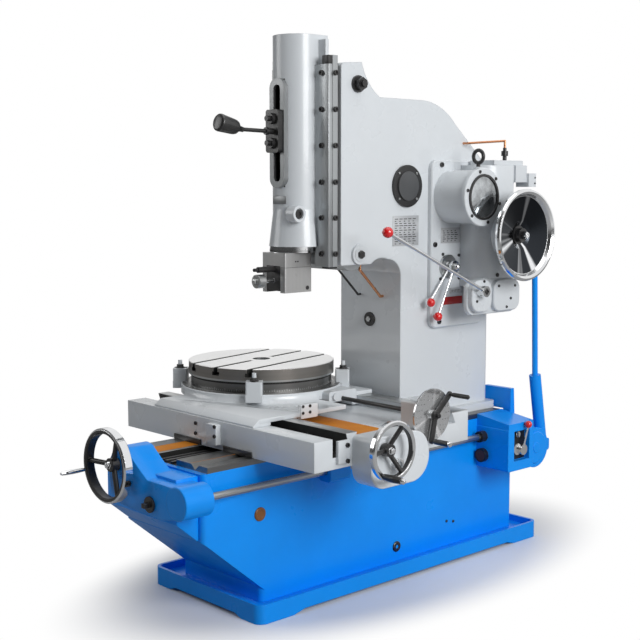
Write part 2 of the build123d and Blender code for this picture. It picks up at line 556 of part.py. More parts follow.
def short_lever(x, dy, dz):
    """A short lever on the hub with a ball at its end."""
    knob = (x + 6, HUB_Y + dy, HUB_Z + dz)
    length = math.hypot(dy, dz)
    start = (x + 6, HUB_Y + dy * 24 / length, HUB_Z + dz * 24 / length)
    ring = cyl((x, HUB_Y, HUB_Z), 27, 12, "X") - cyl((x - 1, HUB_Y, HUB_Z), 17 + PIN_GAP, 14, "X")
    return ring + rod_between(start, knob, 5.5) + ball(knob, BALL_R)


def long_lever():
    """The long clutch lever with a ball at its end."""
    knob = (402, -240, 1463)
    hub = cyl((345 + SLIDE_GAP, LONG_Y, LONG_Z), 14, 46, "X") + cyl((372 + SLIDE_GAP, LONG_Y, LONG_Z), 24, 40, "X")
    return hub + rod_between((402, LONG_Y - 4, LONG_Z + 2), knob, 7.5) + ball(knob, 22)


def gearbox_top():
    """The oil box on the gearbox's top and the small switch box behind it."""
    x = COL_HALF + PLATE_T
    a = box(x + 14, 352, 478, 680, 1735, 1756) + box(300, 360, 620, 700, 1660, 1735) + box(300, 372, 700, 752, 1640, 1700)
    return a


def sight_window():
    """The dark ring of the round sight window."""
    x = COL_HALF + PLATE_T + 176
    return cyl((x, DRUM_Y, DRUM_Z), 97, 14, "X") - cyl((x + 4, DRUM_Y, DRUM_Z), 88, 12, "X")


def sight_glass():
    """The slightly domed glass of the sight window."""
    x = COL_HALF + PLATE_T + 180
    return revolved([(0, 0), (0, 88), (5, 88), (8, 60), (10, 30), (11, 0)], (x, DRUM_Y, DRUM_Z), "X")


def eyebolt():
    """The lifting eye on the gearbox."""
    ring = Pos(335, 391, 1770) * Rot(90, 0, 0) * Solid.make_torus(27, 8)
    return ring + cyl((335, 391, 1726), 9, 20)


def copper_tube():
    """The copper tube from the column to the oil cup."""
    pts = [(COL_HALF, 470, 1832), (COL_HALF + 26, 470, 1832), (320, 590, 1842), (320, 590, 1812.3)]
    path = Polyline(*pts)
    return sweep(Plane(origin=pts[0], z_dir=(1, 0, 0)) * Circle(5), path=path, transition=Transition.ROUND)


def oil_cup():
    """The small valve and cup under the copper tube."""
    p = (320, 590, 1756)
    return cyl(p, 9, 20) + cyl((320, 590, 1776), 15, 22) + cyl((320, 590, 1798), 8, 14)


def dish_handwheel():
    """The big polished dish wheel, spun from one thick disc."""
    x, r = 470.0, 200.0
    dish = revolved([(-46, 0), (-46, 38), (-30, 60), (-12, r - 30), (-14, r - 14), (-6, r - 2), (6, r),
                     (16, r - 4), (18, r - 12), (10, r - 22), (-4, r - 30), (-22, 62), (-34, 40), (-34, 0)],
                    (x, WHEEL_Y, WHEEL_Z), "X")
    hub = cyl((x - 46, WHEEL_Y, WHEEL_Z), 30, 36, "X") + cyl((x - 10, WHEEL_Y, WHEEL_Z), 17, 16, "X")
    return dish + hub + cyl((x - 45, WHEEL_Y, WHEEL_Z), 17, -100, "X")


def rear_gearbox():
    """The feed gearbox low on the machine's back, with its ratchet drum and slanted top."""
    g = rounded(BED_X / 2, 432, 510, 692, 377, 571, 10, "X")
    g += prism_y([(BED_X / 2, 560), (432, 560), (432, 592), (BED_X / 2, 618)], 512, 690)
    g += cyl((300, 735, 455), 92, 112, "X")
    g += cyl((ROD_X, 476, ROD_Z), 25, 36, "Y") + cyl((ROD_X, 488, 436), 31, 24, "Y")
    g -= box(404, 440, 552, 662, 420, 556)
    return g - cyl((ROD_X, 460, ROD_Z), ROD_R + PIN_GAP, 110, "Y")


def rear_upright():
    """The tapering upright behind the column's foot."""
    half = BED_X / 2
    up = prism_x([(700, 400), (700, 716), (724, 716), (744, 400)], 140, 292)
    return up - box(0, half, 690, 760, 390, BED_TOP) - cyl((300, 735, 455), 92, -60, "X")


def clutch_drum():
    """The drum and disc seen in the rear gearbox's opening."""
    return cyl((404, 590, 470), 26, 18, "X") + cyl((404, 600, 535), 14, 14, "X")


def clutch_lever():
    """The clutch lever with a disc hub and a ball."""
    knob = (452, 626, 583)
    return cyl((422 + SLIDE_GAP, 620, 466), 24, 12, "X") + rod_between((431, 620, 478), knob, 5) + ball(knob, 16)


def connecting_rod():
    """The tall rod from the upper gearbox down to the ratchet drum, with its upper arm and lower clevis."""
    top, mid, low = (350, 785, 1300), (350, 803, 776), (350, 862, 440)
    rod = rod_between(mid, low, 27) + rod_between(top, (350, 805, 740), 13)
    arm = rounded(330, 360, 620, 800, 1262, 1296, 10, "X")
    clevis = rounded(322, 378, 800, 886, 418, 474, 12, "X") - cyl((300, 735, 455), 92, 112, "X")
    return rod + arm + clevis


def main():
    """Build every node and write it."""
    os.makedirs("parts", exist_ok=True)
    built = {
        "drip_trough": drip_trough(), "bed": bed(), "front_bracket": front_bracket(), "feed_rod": feed_rod(),
        "front_handwheel": front_handwheel(), "saddle": saddle(), "saddle_fittings": saddle_fittings(),
        "rod_bracket": rod_bracket(), "cross_feed_gearbox": cross_feed_gearbox(),
        "cross_handwheel": cross_handwheel(), "cross_slide": cross_slide(), "table_clamps": table_clamps(),
        "rotary_table": rotary_table(), "rotary_feed_box": rotary_feed_box(), "index_shaft": index_shaft(),
        "index_plate": index_plate(), "index_crank": index_crank(), "column": column(),
        "tilt_pin": tilt_pin(), "tilt_nut": tilt_nut(), "column_cover": column_cover(),
        "front_cap": front_cap(), "oil_pipe_left": oil_pipe(-72, 5, 0), "oil_pipe_right": oil_pipe(75, 5, 0),
        "ram_guide": ram_guide(), "keepers": keepers(), "ram": ram(), "slot_plate": slot_plate(),
        "ram_clamp": ram_clamp(), "clamp_lever": clamp_lever(), "ram_boss": ram_boss(),
        "graduated_ring": graduated_ring(), "tool_head": tool_head(), "tool_clamp": tool_clamp(),
        "gearbox_plate": gearbox_plate(), "speed_gearbox": speed_gearbox(), "gearbox_covers": gearbox_covers(),
        "gearbox_top": gearbox_top(), "hub_flange": hub_flange(), "short_lever_low": short_lever(218, -134, -150),
        "short_lever_high": short_lever(240, -104, -212), "long_lever": long_lever(),
        "sight_window": sight_window(), "sight_glass": sight_glass(), "eyebolt": eyebolt(),
        "copper_tube": copper_tube(), "oil_cup": oil_cup(), "dish_handwheel": dish_handwheel(),
        "rear_gearbox": rear_gearbox(), "rear_upright": rear_upright(), "clutch_drum": clutch_drum(),
        "clutch_lever": clutch_lever(), "connecting_rod": connecting_rod(),
    }
    for name, shape in built.items():
        export_step(shape, f"parts/{name}.step")


if __name__ == "__main__":
    main()
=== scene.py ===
"""Looks for the vertical slotting machine: finishes, screws, scales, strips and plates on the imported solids.

Lengths are in metres, or in millimetres where it is said.
"""

import json
import logging
import math
from abc import ABC, abstractmethod
from collections.abc import Iterable, Mapping, Sequence
from dataclasses import dataclass, field
from enum import Enum
from functools import reduce
from typing import Any

import bmesh
import bpy
from mathutils import Matrix, Vector

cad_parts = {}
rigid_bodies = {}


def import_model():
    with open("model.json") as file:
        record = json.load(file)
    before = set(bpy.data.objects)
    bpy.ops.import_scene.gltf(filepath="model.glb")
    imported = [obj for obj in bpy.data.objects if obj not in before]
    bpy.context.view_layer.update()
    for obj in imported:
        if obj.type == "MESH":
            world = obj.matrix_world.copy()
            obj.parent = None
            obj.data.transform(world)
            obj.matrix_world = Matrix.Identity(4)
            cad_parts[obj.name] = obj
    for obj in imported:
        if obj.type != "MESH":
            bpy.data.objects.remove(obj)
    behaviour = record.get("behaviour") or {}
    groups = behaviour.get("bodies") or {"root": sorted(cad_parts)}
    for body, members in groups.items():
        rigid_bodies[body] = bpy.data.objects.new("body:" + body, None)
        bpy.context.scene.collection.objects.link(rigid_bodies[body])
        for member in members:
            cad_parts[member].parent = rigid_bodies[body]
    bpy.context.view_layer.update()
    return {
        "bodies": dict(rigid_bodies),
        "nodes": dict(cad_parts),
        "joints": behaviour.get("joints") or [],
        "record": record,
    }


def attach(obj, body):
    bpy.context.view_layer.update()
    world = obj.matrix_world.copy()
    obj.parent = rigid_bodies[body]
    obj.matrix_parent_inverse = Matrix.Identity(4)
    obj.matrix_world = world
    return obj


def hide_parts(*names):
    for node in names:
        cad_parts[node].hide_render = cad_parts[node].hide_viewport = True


LOG = logging.getLogger("slotting_machine")
MM = 0.001
Point = tuple[float, float, float]
Outline = Sequence[tuple[float, float]]
Socket = bpy.types.NodeSocket

# Places in millimetres that a finish and a sub-assembly share.
TABLE_AT = (-282.0, -316.0, 0.0)
FRONT_WHEEL_AT = (-60.0, -1253.0, 612.0)
CROSS_WHEEL_AT = (740.0, -560.0, 691.0)
DISH_WHEEL_AT = (470.0, 550.0, 1432.0)
DIVIDING_PLATE_AT = (609.5, -198.0, 758.0)
COVER_AT = (195.0, 102.0, 1644.0)
TOOL_SCREW_AT = (0.0, -570.0, 1264.0)


class Axis(Enum):
    """The way a shape's axis points."""

    X = (1.0, 0.0, 0.0)
    Y = (0.0, 1.0, 0.0)
    Z = (0.0, 0.0, 1.0)
    FRONT = (0.0, -1.0, 0.0)


class Head(Enum):
    """The head of a screw: its number of sides and how deep its recess goes, as a share of its height."""

    SOCKET = (24, 0.55)
    HEXAGON = (6, 0.0)
    BUTTON = (20, 0.25)


class Drift(Enum):
    """The pattern by which a skin drifts from its main colour to its second one."""

    CAST = "Patch"
    MARKS = "Tone"
    # The sheen drift paints highlight streaks into the colour, standing in for reflections off turned metal.
    PAINTED_SHEEN = "PaintedSheen"


def mm(x: float, y: float, z: float) -> Point:
    """A point given in millimetres, in metres."""
    return (x * MM, y * MM, z * MM)


def turn_to(way: Axis | Point) -> Matrix:
    """The turn that takes +Z to an axis or a direction."""
    aim = Vector(way.value if isinstance(way, Axis) else way)
    return Vector(Axis.Z.value).rotation_difference(aim).to_matrix().to_4x4()


class Graph:
    """Adds nodes to one tree and joins them."""

    def __init__(self, tree: bpy.types.NodeTree) -> None:
        """Keep the tree that is filled."""
        self.tree = tree

    @property
    def here(self) -> Socket:
        """The shaded point in the object's own coordinates."""
        return self.add("ShaderNodeTexCoord").outputs["Object"]

    def add(self, kind: str, inputs: Mapping[str | int, Any] | None = None,
            **settings: Any) -> bpy.types.Node:
        """Add a node, set it and feed its inputs.

        Args:
            kind: the node's type.
            inputs: a socket to join, or a value, for each input by name or place.
            settings: the node's own properties.

        Returns:
            The new node.
        """
        node = self.tree.nodes.new(kind)
        for name, value in settings.items():
            setattr(node, name, value)
        for key, value in (inputs or {}).items():
            if isinstance(value, Socket):
                self.tree.links.new(value, node.inputs[key])
            else:
                node.inputs[key].default_value = value
        return node

    def math(self, operation: str, *values: Any, clamp: bool = False) -> Socket:
        """Join numbers through one Math node.

        Args:
            operation: the sum to do.
            values: sockets or numbers.
            clamp: whether the result stays between 0 and 1.

        Returns:
            The result's socket.
        """
        return self.add("ShaderNodeMath", dict(enumerate(values)), operation=operation,
                        use_clamp=clamp).outputs[0]

    def vector(self, operation: str, *values: Any) -> Socket:
        """Join vectors through one Vector Math node.

        Args:
            operation: the sum to do.
            values: sockets or triples.

        Returns:
            The result's socket, which is a number for a length and a dot product.
        """
        node = self.add("ShaderNodeVectorMath", dict(enumerate(values)), operation=operation)
        return node.outputs["Value" if operation in ("LENGTH", "DOT_PRODUCT") else "Vector"]

    def ramp(self, value: Socket, low: float = 0.0, high: float = 1.0, start: Any = 0.0, end: Any = 1.0,
             **settings: Any) -> Socket:
        """Map a value from one range to another, such as a mask to two numbers.

        Args:
            value: what is mapped.
            low: the value that gives the start.
            high: the value that gives the end.
            start: a number or socket.
            end: a number or socket.
            settings: the node's own properties.

        Returns:
            The result's socket.
        """
        return self.add("ShaderNodeMapRange", {0: value, 1: low, 2: high, 3: start, 4: end},
                        **settings).outputs[0]

    def noise(self, at: Socket, scale: Any, detail: float, roughness: float = 0.5) -> Socket:
        """Add a noise pattern.

        Args:
            at: the point that it reads.
            scale: how fine it is, a number or socket.
            detail: how many finer layers it has.
            roughness: how strong those layers are.

        Returns:
            The pattern's socket.
        """
        return self.add("ShaderNodeTexNoise", {"Vector": at, "Scale": scale, "Detail": detail,
                                               "Roughness": roughness}).outputs[0]

    def mix(self, factor: Any, first: Any, second: Any) -> Socket:
        """Mix two colours.

        Args:
            factor: how much of the second shows.
            first: a colour or socket.
            second: a colour or socket.

        Returns:
            The mixed colour's socket.
        """
        colours = {place: value if isinstance(value, Socket) else (*value, 1.0)
                   for place, value in ((6, first), (7, second))}
        return self.add("ShaderNodeMix", {0: factor, **colours}, data_type="RGBA").outputs[2]


class Effects:
    """The shader node groups that several finishes share, each built once."""

    def __init__(self) -> None:
        """Build every group."""
        self.trees: dict[str, bpy.types.NodeTree] = {}
        for fill in (self._soft_edge, self._casting_skin, self._rubbed_edges, self._settled_dust,
                     self._straight_cut, self._turned_cut, self._inside_box, self._inside_drum):
            fill()

    def place(self, g: Graph, name: str, inputs: Mapping[str, Any]) -> Any:
        """Place a group in a material.

        Args:
            g: the material's graph.
            name: the group's name.
            inputs: its values.

        Returns:
            Its outputs.
        """
        return g.add("ShaderNodeGroup", inputs, node_tree=self.trees[name]).outputs

    @staticmethod
    def _start(name: str, inputs: Mapping[str, Any]) -> tuple[Graph, Any]:
        """Start a group.

        Args:
            name: the group's name.
            inputs: each input's name and default, a number or a triple.

        Returns:
            The graph and the group's inputs, to read from.
        """
        g = Graph(bpy.data.node_groups.new(name, "ShaderNodeTree"))
        for label, value in inputs.items():
            kind = "NodeSocketFloat" if isinstance(value, float) else "NodeSocketVector"
            g.tree.interface.new_socket(label, in_out="INPUT", socket_type=kind).default_value = value
        return g, g.add("NodeGroupInput").outputs

    def _end(self, g: Graph, outputs: Mapping[str, Socket]) -> None:
        """End a group and keep it under its name.

        Args:
            g: the group's graph.
            outputs: each output's name and what feeds it.
        """
        for label, socket in outputs.items():
            kind = "NodeSocketVector" if socket.type == "VECTOR" else "NodeSocketFloat"
            g.tree.interface.new_socket(label, in_out="OUTPUT", socket_type=kind)
        g.add("NodeGroupOutput", outputs)
        self.trees[g.tree.name] = g.tree

    def _soft_edge(self) -> None:
        """Round off sharp edges in the shading and mark where they are."""
        contrast = 5.0
        g, put = self._start("soft_edge", {"Radius": 0.002})
        round_normal = g.add("ShaderNodeBevel", {"Radius": put["Radius"]}, samples=4).outputs[0]
        true_normal = g.add("ShaderNodeNewGeometry").outputs["Normal"]
        bent = g.math("SUBTRACT", 1.0, g.vector("DOT_PRODUCT", round_normal, true_normal))
        self._end(g, {"Normal": round_normal, "Edge": g.math("MULTIPLY", bent, contrast, clamp=True)})

    def _casting_skin(self) -> None:
        """Make the slow waves, the fine peel and the wide patches of a painted casting."""
        peel_scale, peel_depth, patch_scale = 9.0, 0.35, 0.09
        g, put = self._start("casting_skin", {"Scale": 40.0})
        here = g.here
        peel = g.noise(here, g.math("MULTIPLY", put["Scale"], peel_scale), 2.0)
        wave = g.noise(here, put["Scale"], 3.0)
        patch = g.noise(here, g.math("MULTIPLY", put["Scale"], patch_scale), 4.0, 0.6)
        self._end(g, {"Height": g.math("ADD", g.math("MULTIPLY", peel, peel_depth), wave),
                      "Patch": g.ramp(patch, 0.35, 0.65)})

    def _rubbed_edges(self) -> None:
        """Rub the edges, broken up by noise."""
        g, put = self._start("rubbed_edges", {"Edge": 0.0, "Amount": 0.3, "Scale": 30.0})
        broken = g.ramp(g.noise(g.here, put["Scale"], 5.0), 0.45, 0.62)
        rubbed = g.math("MULTIPLY", put["Edge"], broken)
        self._end(g, {"Mask": g.math("MULTIPLY", rubbed, put["Amount"], clamp=True)})

    def _settled_dust(self) -> None:
        """Lay fine dust and dried oil on faces that look up."""
        g, put = self._start("settled_dust", {"Amount": 0.2, "Scale": 12.0})
        up = g.add("ShaderNodeSeparateXYZ", {0: g.add("ShaderNodeNewGeometry").outputs["Normal"]}).outputs[
                "Z"]
        cloud = g.ramp(g.noise(g.here, put["Scale"], 6.0), 0.4, 0.75)
        lying = g.math("MULTIPLY", g.math("MAXIMUM", up, 0.0), cloud)
        self._end(g, {"Mask": g.math("MULTIPLY", lying, put["Amount"], clamp=True)})

    def _straight_cut(self) -> None:
        """Draw the straight marks of grinding or planing, long in one direction."""
        band_scale = 0.08
        g, put = self._start("straight_cut", {"Stretch": (1.0, 0.02, 1.0), "Scale": 900.0})
        drawn = g.vector("MULTIPLY", g.here, put["Stretch"])
        self._end(g, {"Height": g.noise(drawn, put["Scale"], 3.0),
                      "Tone": g.noise(drawn, g.math("MULTIPLY", put["Scale"], band_scale), 2.0)})

    @staticmethod
    def _about_axis(g: Graph, put: Any) -> tuple[Socket, Socket, Socket]:
        """Measure the shaded point against an axis.

        Args:
            g: the group's graph.
            put: the group's inputs, with Centre and Axis.

        Returns:
            The way round the axis, the distance from it and the distance along it.
        """
        arm = g.vector("SUBTRACT", g.here, put["Centre"])
        around = g.vector("CROSS_PRODUCT", put["Axis"], arm)
        return around, g.vector("LENGTH", around), g.vector("DOT_PRODUCT", put["Axis"], arm)

    def _turned_cut(self) -> None:
        """Draw the rings of turning, the way round as a tangent, and a mask of painted highlight streaks round
        the axis.
        """
        band_scale, ray_scale, ray_roughness = 0.12, 1.7, 0.65
        g, put = self._start("turned_cut", {"Centre": (0.0, 0.0, 0.0), "Axis": (0.0, 0.0, 1.0),
                                            "Scale": 700.0})
        around, radius, along = self._about_axis(g, put)
        spot = g.add("ShaderNodeCombineXYZ", {0: radius, 1: along}).outputs[0]
        tangent = g.vector("NORMALIZE", around)
        # Noise read by the way round only: streaks of painted highlight round the axis, not real light.
        painted_rays = g.noise(tangent, ray_scale, 2.0, ray_roughness)
        self._end(g, {"Height": g.noise(spot, put["Scale"], 2.0),
                      "Tone": g.noise(spot, g.math("MULTIPLY", put["Scale"], band_scale), 3.0),
                      "Tangent": tangent, "PaintedSheen": g.ramp(painted_rays, 0.56, 0.70)})

    def _inside_box(self) -> None:
        """Mask the points inside a box."""
        g, put = self._start("inside_box", {"Centre": (0.0, 0.0, 0.0), "Half": (0.1, 0.1, 0.1)})
        arm = g.vector("ABSOLUTE", g.vector("SUBTRACT", g.here, put["Centre"]))
        past = g.add("ShaderNodeSeparateXYZ", {0: g.vector("SUBTRACT", arm, put["Half"])}).outputs
        worst = g.math("MAXIMUM", g.math("MAXIMUM", past[0], past[1]), past[2])
        self._end(g, {"Mask": g.math("LESS_THAN", worst, 0.0)})

    def _inside_drum(self) -> None:
        """Mask the points inside a drum."""
        g, put = self._start("inside_drum", {"Centre": (0.0, 0.0, 0.0), "Axis": (0.0, 0.0, 1.0),
                                             "Radius": 0.1, "Half": 0.1})
        _, radius, along = self._about_axis(g, put)
        near = g.math("LESS_THAN", radius, put["Radius"])
        level = g.math("LESS_THAN", g.math("ABSOLUTE", along), put["Half"])
        self._end(g, {"Mask": g.math("MULTIPLY", near, level)})


@dataclass(frozen=True)
class Region:
    """A part of the object where an accent shows.

    Attributes:
        shape: the group that masks it.
        sizes: the group's values.
    """

    shape: str
    sizes: Mapping[str, Any]


def box(low: Point, high: Point) -> Region:
    """A box from its lowest to its highest corner."""
    centre, half = (tuple((b + side * a) / 2 for a, b in zip(low, high)) for side in (1, -1))
    return Region("inside_box", {"Centre": centre, "Half": half})


def drum(centre: Point, axis: Axis, radius: float, half: float) -> Region:
    """A drum about an axis, given by half its length."""
    return Region("inside_drum", {"Centre": centre, "Axis": axis.value, "Radius": radius, "Half": half})


@dataclass(frozen=True)
class Skin:
    """One surface: its colours, its gloss and whether it is metal.

    Attributes:
        colour: the main colour.
        tone: the colour it drifts to in patches.
        rough: its roughness.
        spread: how far the roughness wanders.
        metal: 1 for bare metal.
        coat: how much clear gloss lies on top.
        drift: the pattern of its patches.
    """

    colour: Point
    tone: Point
    rough: float
    spread: float = 0.08
    metal: float = 0.0
    coat: float = 0.0
    drift: Drift = Drift.CAST


@dataclass(frozen=True)
class Accent:
    """Another skin inside some regions of the same solid.

    Attributes:
        skin: the surface.
        regions: where it shows.
    """

    skin: Skin
    regions: tuple[Region, ...]


@dataclass(frozen=True)
class Finish:
    """A finish, built as one material.

    Attributes:
        name: the material's name.
        skin: its main surface.
        accents: other surfaces in some regions, the last one on top.
        edge: the shading radius of its edges.
        wear: how far its edges are rubbed.
        worn: the colour of a rubbed edge.
        dust: how much dust lies on it.
        grain: the scale of its casting skin.
        relief: the depth of its texture.
        cut: the stretch of straight machining marks, if any.
        turned: centre and axis of turning marks, if any.
        cut_scale: how close the marks lie.
        sweep: how far highlights are drawn across the marks.
        ior: the index of refraction.
    """

    name: str
    skin: Skin
    accents: tuple[Accent, ...] = ()
    edge: float = 0.0022
    wear: float = 0.0
    worn: Point = (0.62, 0.62, 0.62)
    dust: float = 0.0
    grain: float = 40.0
    relief: float = 0.0002
    cut: Point | None = None
    turned: tuple[Point, Axis] | None = None
    cut_scale: float = 900.0
    sweep: float = 0.0
    ior: float = 1.5

    DUST_COLOUR = (0.36, 0.34, 0.30)
    DUST_ROUGHNESS = 0.5
    COAT_ROUGHNESS = 0.08
    BUMP_STRENGTH = 0.6

    def build(self, effects: Effects) -> bpy.types.Material:
        """Make the material.

        Args:
            effects: the shared groups.

        Returns:
            The material.
        """
        material = bpy.data.materials.new(self.name)
        material.use_nodes = True
        material.node_tree.nodes.clear()
        g = Graph(material.node_tree)
        cast = effects.place(g, "casting_skin", {"Scale": self.grain})
        marks = self._marks(g, effects)
        tones = {drift: marks.get(drift.value) for drift in Drift} if marks else {}
        tones[Drift.CAST] = cast["Patch"]
        colour, rough, metal, coat = self._surface(g, self.skin, tones)
        for extra in self.accents:
            masks = [effects.place(g, region.shape, region.sizes)["Mask"] for region in extra.regions]
            mask = reduce(lambda one, two: g.math("MAXIMUM", one, two), masks)
            over = self._surface(g, extra.skin, tones)
            colour = g.mix(mask, colour, over[0])
            rough, metal, coat = (g.ramp(mask, start=a, end=b) for a,
                                  b in zip((rough, metal, coat), over[1:]))
        soft = effects.place(g, "soft_edge", {"Radius": self.edge})
        if self.wear:
            rubbed = effects.place(g, "rubbed_edges", {"Edge": soft["Edge"], "Amount": self.wear})["Mask"]
            colour = g.mix(rubbed, colour, self.worn)
        if self.dust:
            lying = effects.place(g, "settled_dust", {"Amount": self.dust})["Mask"]
            colour = g.mix(lying, colour, self.DUST_COLOUR)
            rough = g.math("ADD", rough, g.math("MULTIPLY", lying, self.DUST_ROUGHNESS), clamp=True)
        bump = g.add("ShaderNodeBump", {"Height": (marks or cast)["Height"], "Normal": soft["Normal"],
                                        "Distance": self.relief, "Strength": self.BUMP_STRENGTH})
        shader = g.add("ShaderNodeBsdfPrincipled", {"Base Color": colour, "Roughness": rough,
                                                    "Metallic": metal, "Coat Weight": coat,
                                                    "Normal": bump.outputs[0],
                                                    "Coat Roughness": self.COAT_ROUGHNESS, "IOR": self.ior,
                                                    "Anisotropic": self.sweep})
        if self.turned and self.sweep:
            g.tree.links.new(marks["Tangent"], shader.inputs["Tangent"])
        g.add("ShaderNodeOutputMaterial", {"Surface": shader.outputs[0]})
        return material

    def _marks(self, g: Graph, effects: Effects) -> Any:
        """Add the machining marks, if this finish has them.

        Args:
            g: the material's graph.
            effects: the shared groups.

        Returns:
            The marks' outputs, or nothing.
        """
        if self.cut:
            return effects.place(g, "straight_cut", {"Stretch": self.cut, "Scale": self.cut_scale})
        if self.turned:
            centre, axis = self.turned
            return effects.place(g, "turned_cut", {"Centre": centre, "Axis": axis.value,
                                                   "Scale": self.cut_scale})
        return None

    @staticmethod
    def _surface(g: Graph, skin: Skin, tones: Mapping[Drift, Socket]) -> tuple[Any, Any, Any, Any]:
        """Add one skin's colour and gloss.

        Args:
            g: the material's graph.
            skin: the surface.
            tones: the patterns it can drift by.

        Returns:
            Its colour, roughness, metal and coat, as sockets or numbers.
        """
        tone = tones[skin.drift]
        rough = g.ramp(tone, start=skin.rough - skin.spread, end=skin.rough + skin.spread)
        return g.mix(tone, skin.colour, skin.tone), rough, skin.metal, skin.coat


class Palette:
    """Every finish of the machine, built once."""

    STEEL = Skin((0.52, 0.53, 0.53), (0.42, 0.43, 0.43), 0.30, 0.08, 1.0, drift=Drift.MARKS)
    DULL_STEEL = Skin((0.24, 0.24, 0.235), (0.15, 0.15, 0.147), 0.34, 0.08, 1.0, drift=Drift.MARKS)
    BRIGHT = Skin((0.82, 0.83, 0.84), (0.74, 0.75, 0.76), 0.10, 0.03, 1.0)
    BLACK = Skin((0.012, 0.012, 0.013), (0.024, 0.023, 0.023), 0.36, 0.08, 0.0, 0.12)
    # Near-black: painted shade in recesses, slots, channels and gaps, and thin dark joint lines.
    DARK = Skin((0.006, 0.006, 0.006), (0.012, 0.012, 0.011), 0.6, 0.05)
    GREY = Skin((0.665, 0.700, 0.730), (0.645, 0.680, 0.710), 0.30, 0.05, 0.0, 0.30)
    BLUE = Skin((0.003, 0.300, 0.960), (0.003, 0.280, 0.900), 0.32, 0.05, 0.0, 0.05)
    OCHRE = Skin((0.62, 0.215, 0.002), (0.52, 0.165, 0.002), 0.55, 0.06)
    WORN_BLUE = (0.10, 0.36, 0.85)
    SLOTS = {
        "cast_black": ("black_oxide", "dark_cavity", "scale_ink", "brown_plug", "clamp_black",
                       "black_plastic"),
        "machined_steel": ("ground_steel", "guide_steel", "head_steel", "slot_steel", "housing_steel",
                           "etched_plate"),
        "grey_paint": ("grey_enamel", "saddle_enamel"),
        "blue_paint": ("blue_enamel",),
        "chrome": ("chrome_plate", "front_wheel"),
        "copper": ("copper_tube",),
    }

    def __init__(self, effects: Effects) -> None:
        """Build the finishes.

        Args:
            effects: the shared groups.
        """
        self.made: dict[str, bpy.types.Material] = {}
        for group in (self._painted(), self._bare(), self._small(), self._fitted()):
            for finish in group:
                self.made[finish.name] = finish.build(effects)

    def __getitem__(self, name: str) -> bpy.types.Material:
        """Find a finish by its name."""
        return self.made[name]

    def slot(self, name: str) -> str:
        """The record's slot of a finish, or nothing."""
        return next((slot for slot, names in self.SLOTS.items() if name in names), "")

    def _painted(self) -> Iterable[Finish]:
        """List the enamelled castings.

        Returns:
            The finishes, before they are built.
        """
        paint = {"wear": 0.06, "dust": 0.03, "relief": 0.00022}
        yield Finish("grey_enamel", self.GREY, edge=0.003, **paint)
        # The column's front behind the guide is near-black: painted shade in the gap.
        yield Finish("column_enamel", self.GREY, (Accent(self.DARK, (
            box((-0.149, -0.30, 1.30), (0.149, -0.0885, 2.30)),)),), edge=0.009, **paint)
        # Near-black inside the ram's slot: painted shade.
        yield Finish("ram_enamel", self.GREY, (Accent(self.DARK, (
            box((-0.031, -0.452, 1.64), (0.031, -0.40, 2.07)),)),), edge=0.003, **paint)
        blue = {**paint, "worn": self.WORN_BLUE, "ior": 1.33, "edge": 0.004}
        yield Finish("blue_enamel", self.BLUE, **blue)
        yield Finish("bed_enamel", self.BLUE, (
            Accent(self.DULL_STEEL, (box((-0.4, -1.2, 0.5968), (0.4, 0.8, 0.6205)),)),
            Accent(self.STEEL, (box((-0.26, -1.2, 0.6195), (-0.18, 0.8, 0.6205)),
                                box((-0.08, -1.2, 0.6195), (-0.0695, 0.8, 0.6205)))),
            Accent(self.OCHRE, (box((-0.178, -1.02, 0.6195), (-0.09, 0.06, 0.6205)),
                                box((0.1435, -1.03, 0.6195), (0.1465, 0.071, 0.6205)))),
            # The valley between the ways, round the bars, is near-black: painted shade.
            Accent(self.DARK, (box((-0.0703, -1.03, 0.595), (0.0603, 0.69, 0.6193)),)),
        ), cut=(1.0, 0.02, 1.0), **blue)
        yield Finish("saddle_enamel", self.GREY, (
            Accent(self.STEEL, (box((-0.7, -0.66, 0.7435), (0.7, 0.05, 0.76)),)),
            # Near-black in the front channel and under the dovetail's overhang: painted shade.
            Accent(self.DARK, (box((-0.587, -0.7155, 0.66), (0.587, -0.6345, 0.7435)),
                               box((-0.587, -0.61, 0.7005), (0.587, -0.5925, 0.7440)))),
            Accent(self.OCHRE, (box((-0.587, -0.62, 0.69), (0.587, -0.328, 0.7008)),)),
        ), cut=(0.02, 1.0, 1.0), edge=0.003, **paint)
        yield Finish("rear_enamel", self.BLUE, (
            Accent(self.BLACK, (drum((0.29, 0.4895, 0.522), Axis.Y, 0.0256, 0.0203),
                                drum((0.29, 0.4985, 0.436), Axis.Y, 0.0316, 0.0113),
                                box((0.403, 0.5525, 0.4205), (0.4315, 0.6615, 0.5555)))),
            Accent(Skin((0.085, 0.030, 0.016), (0.05, 0.02, 0.012), 0.4, 0.08),
                   (drum((0.29, 0.488, 0.436), Axis.Y, 0.025, 0.0008),))),
            **blue)
        yield Finish("red_plate", Skin((0.50, 0.015, 0.015), (0.42, 0.015, 0.015), 0.30, 0.05, 0.0, 0.3),
                     edge=0.0006)

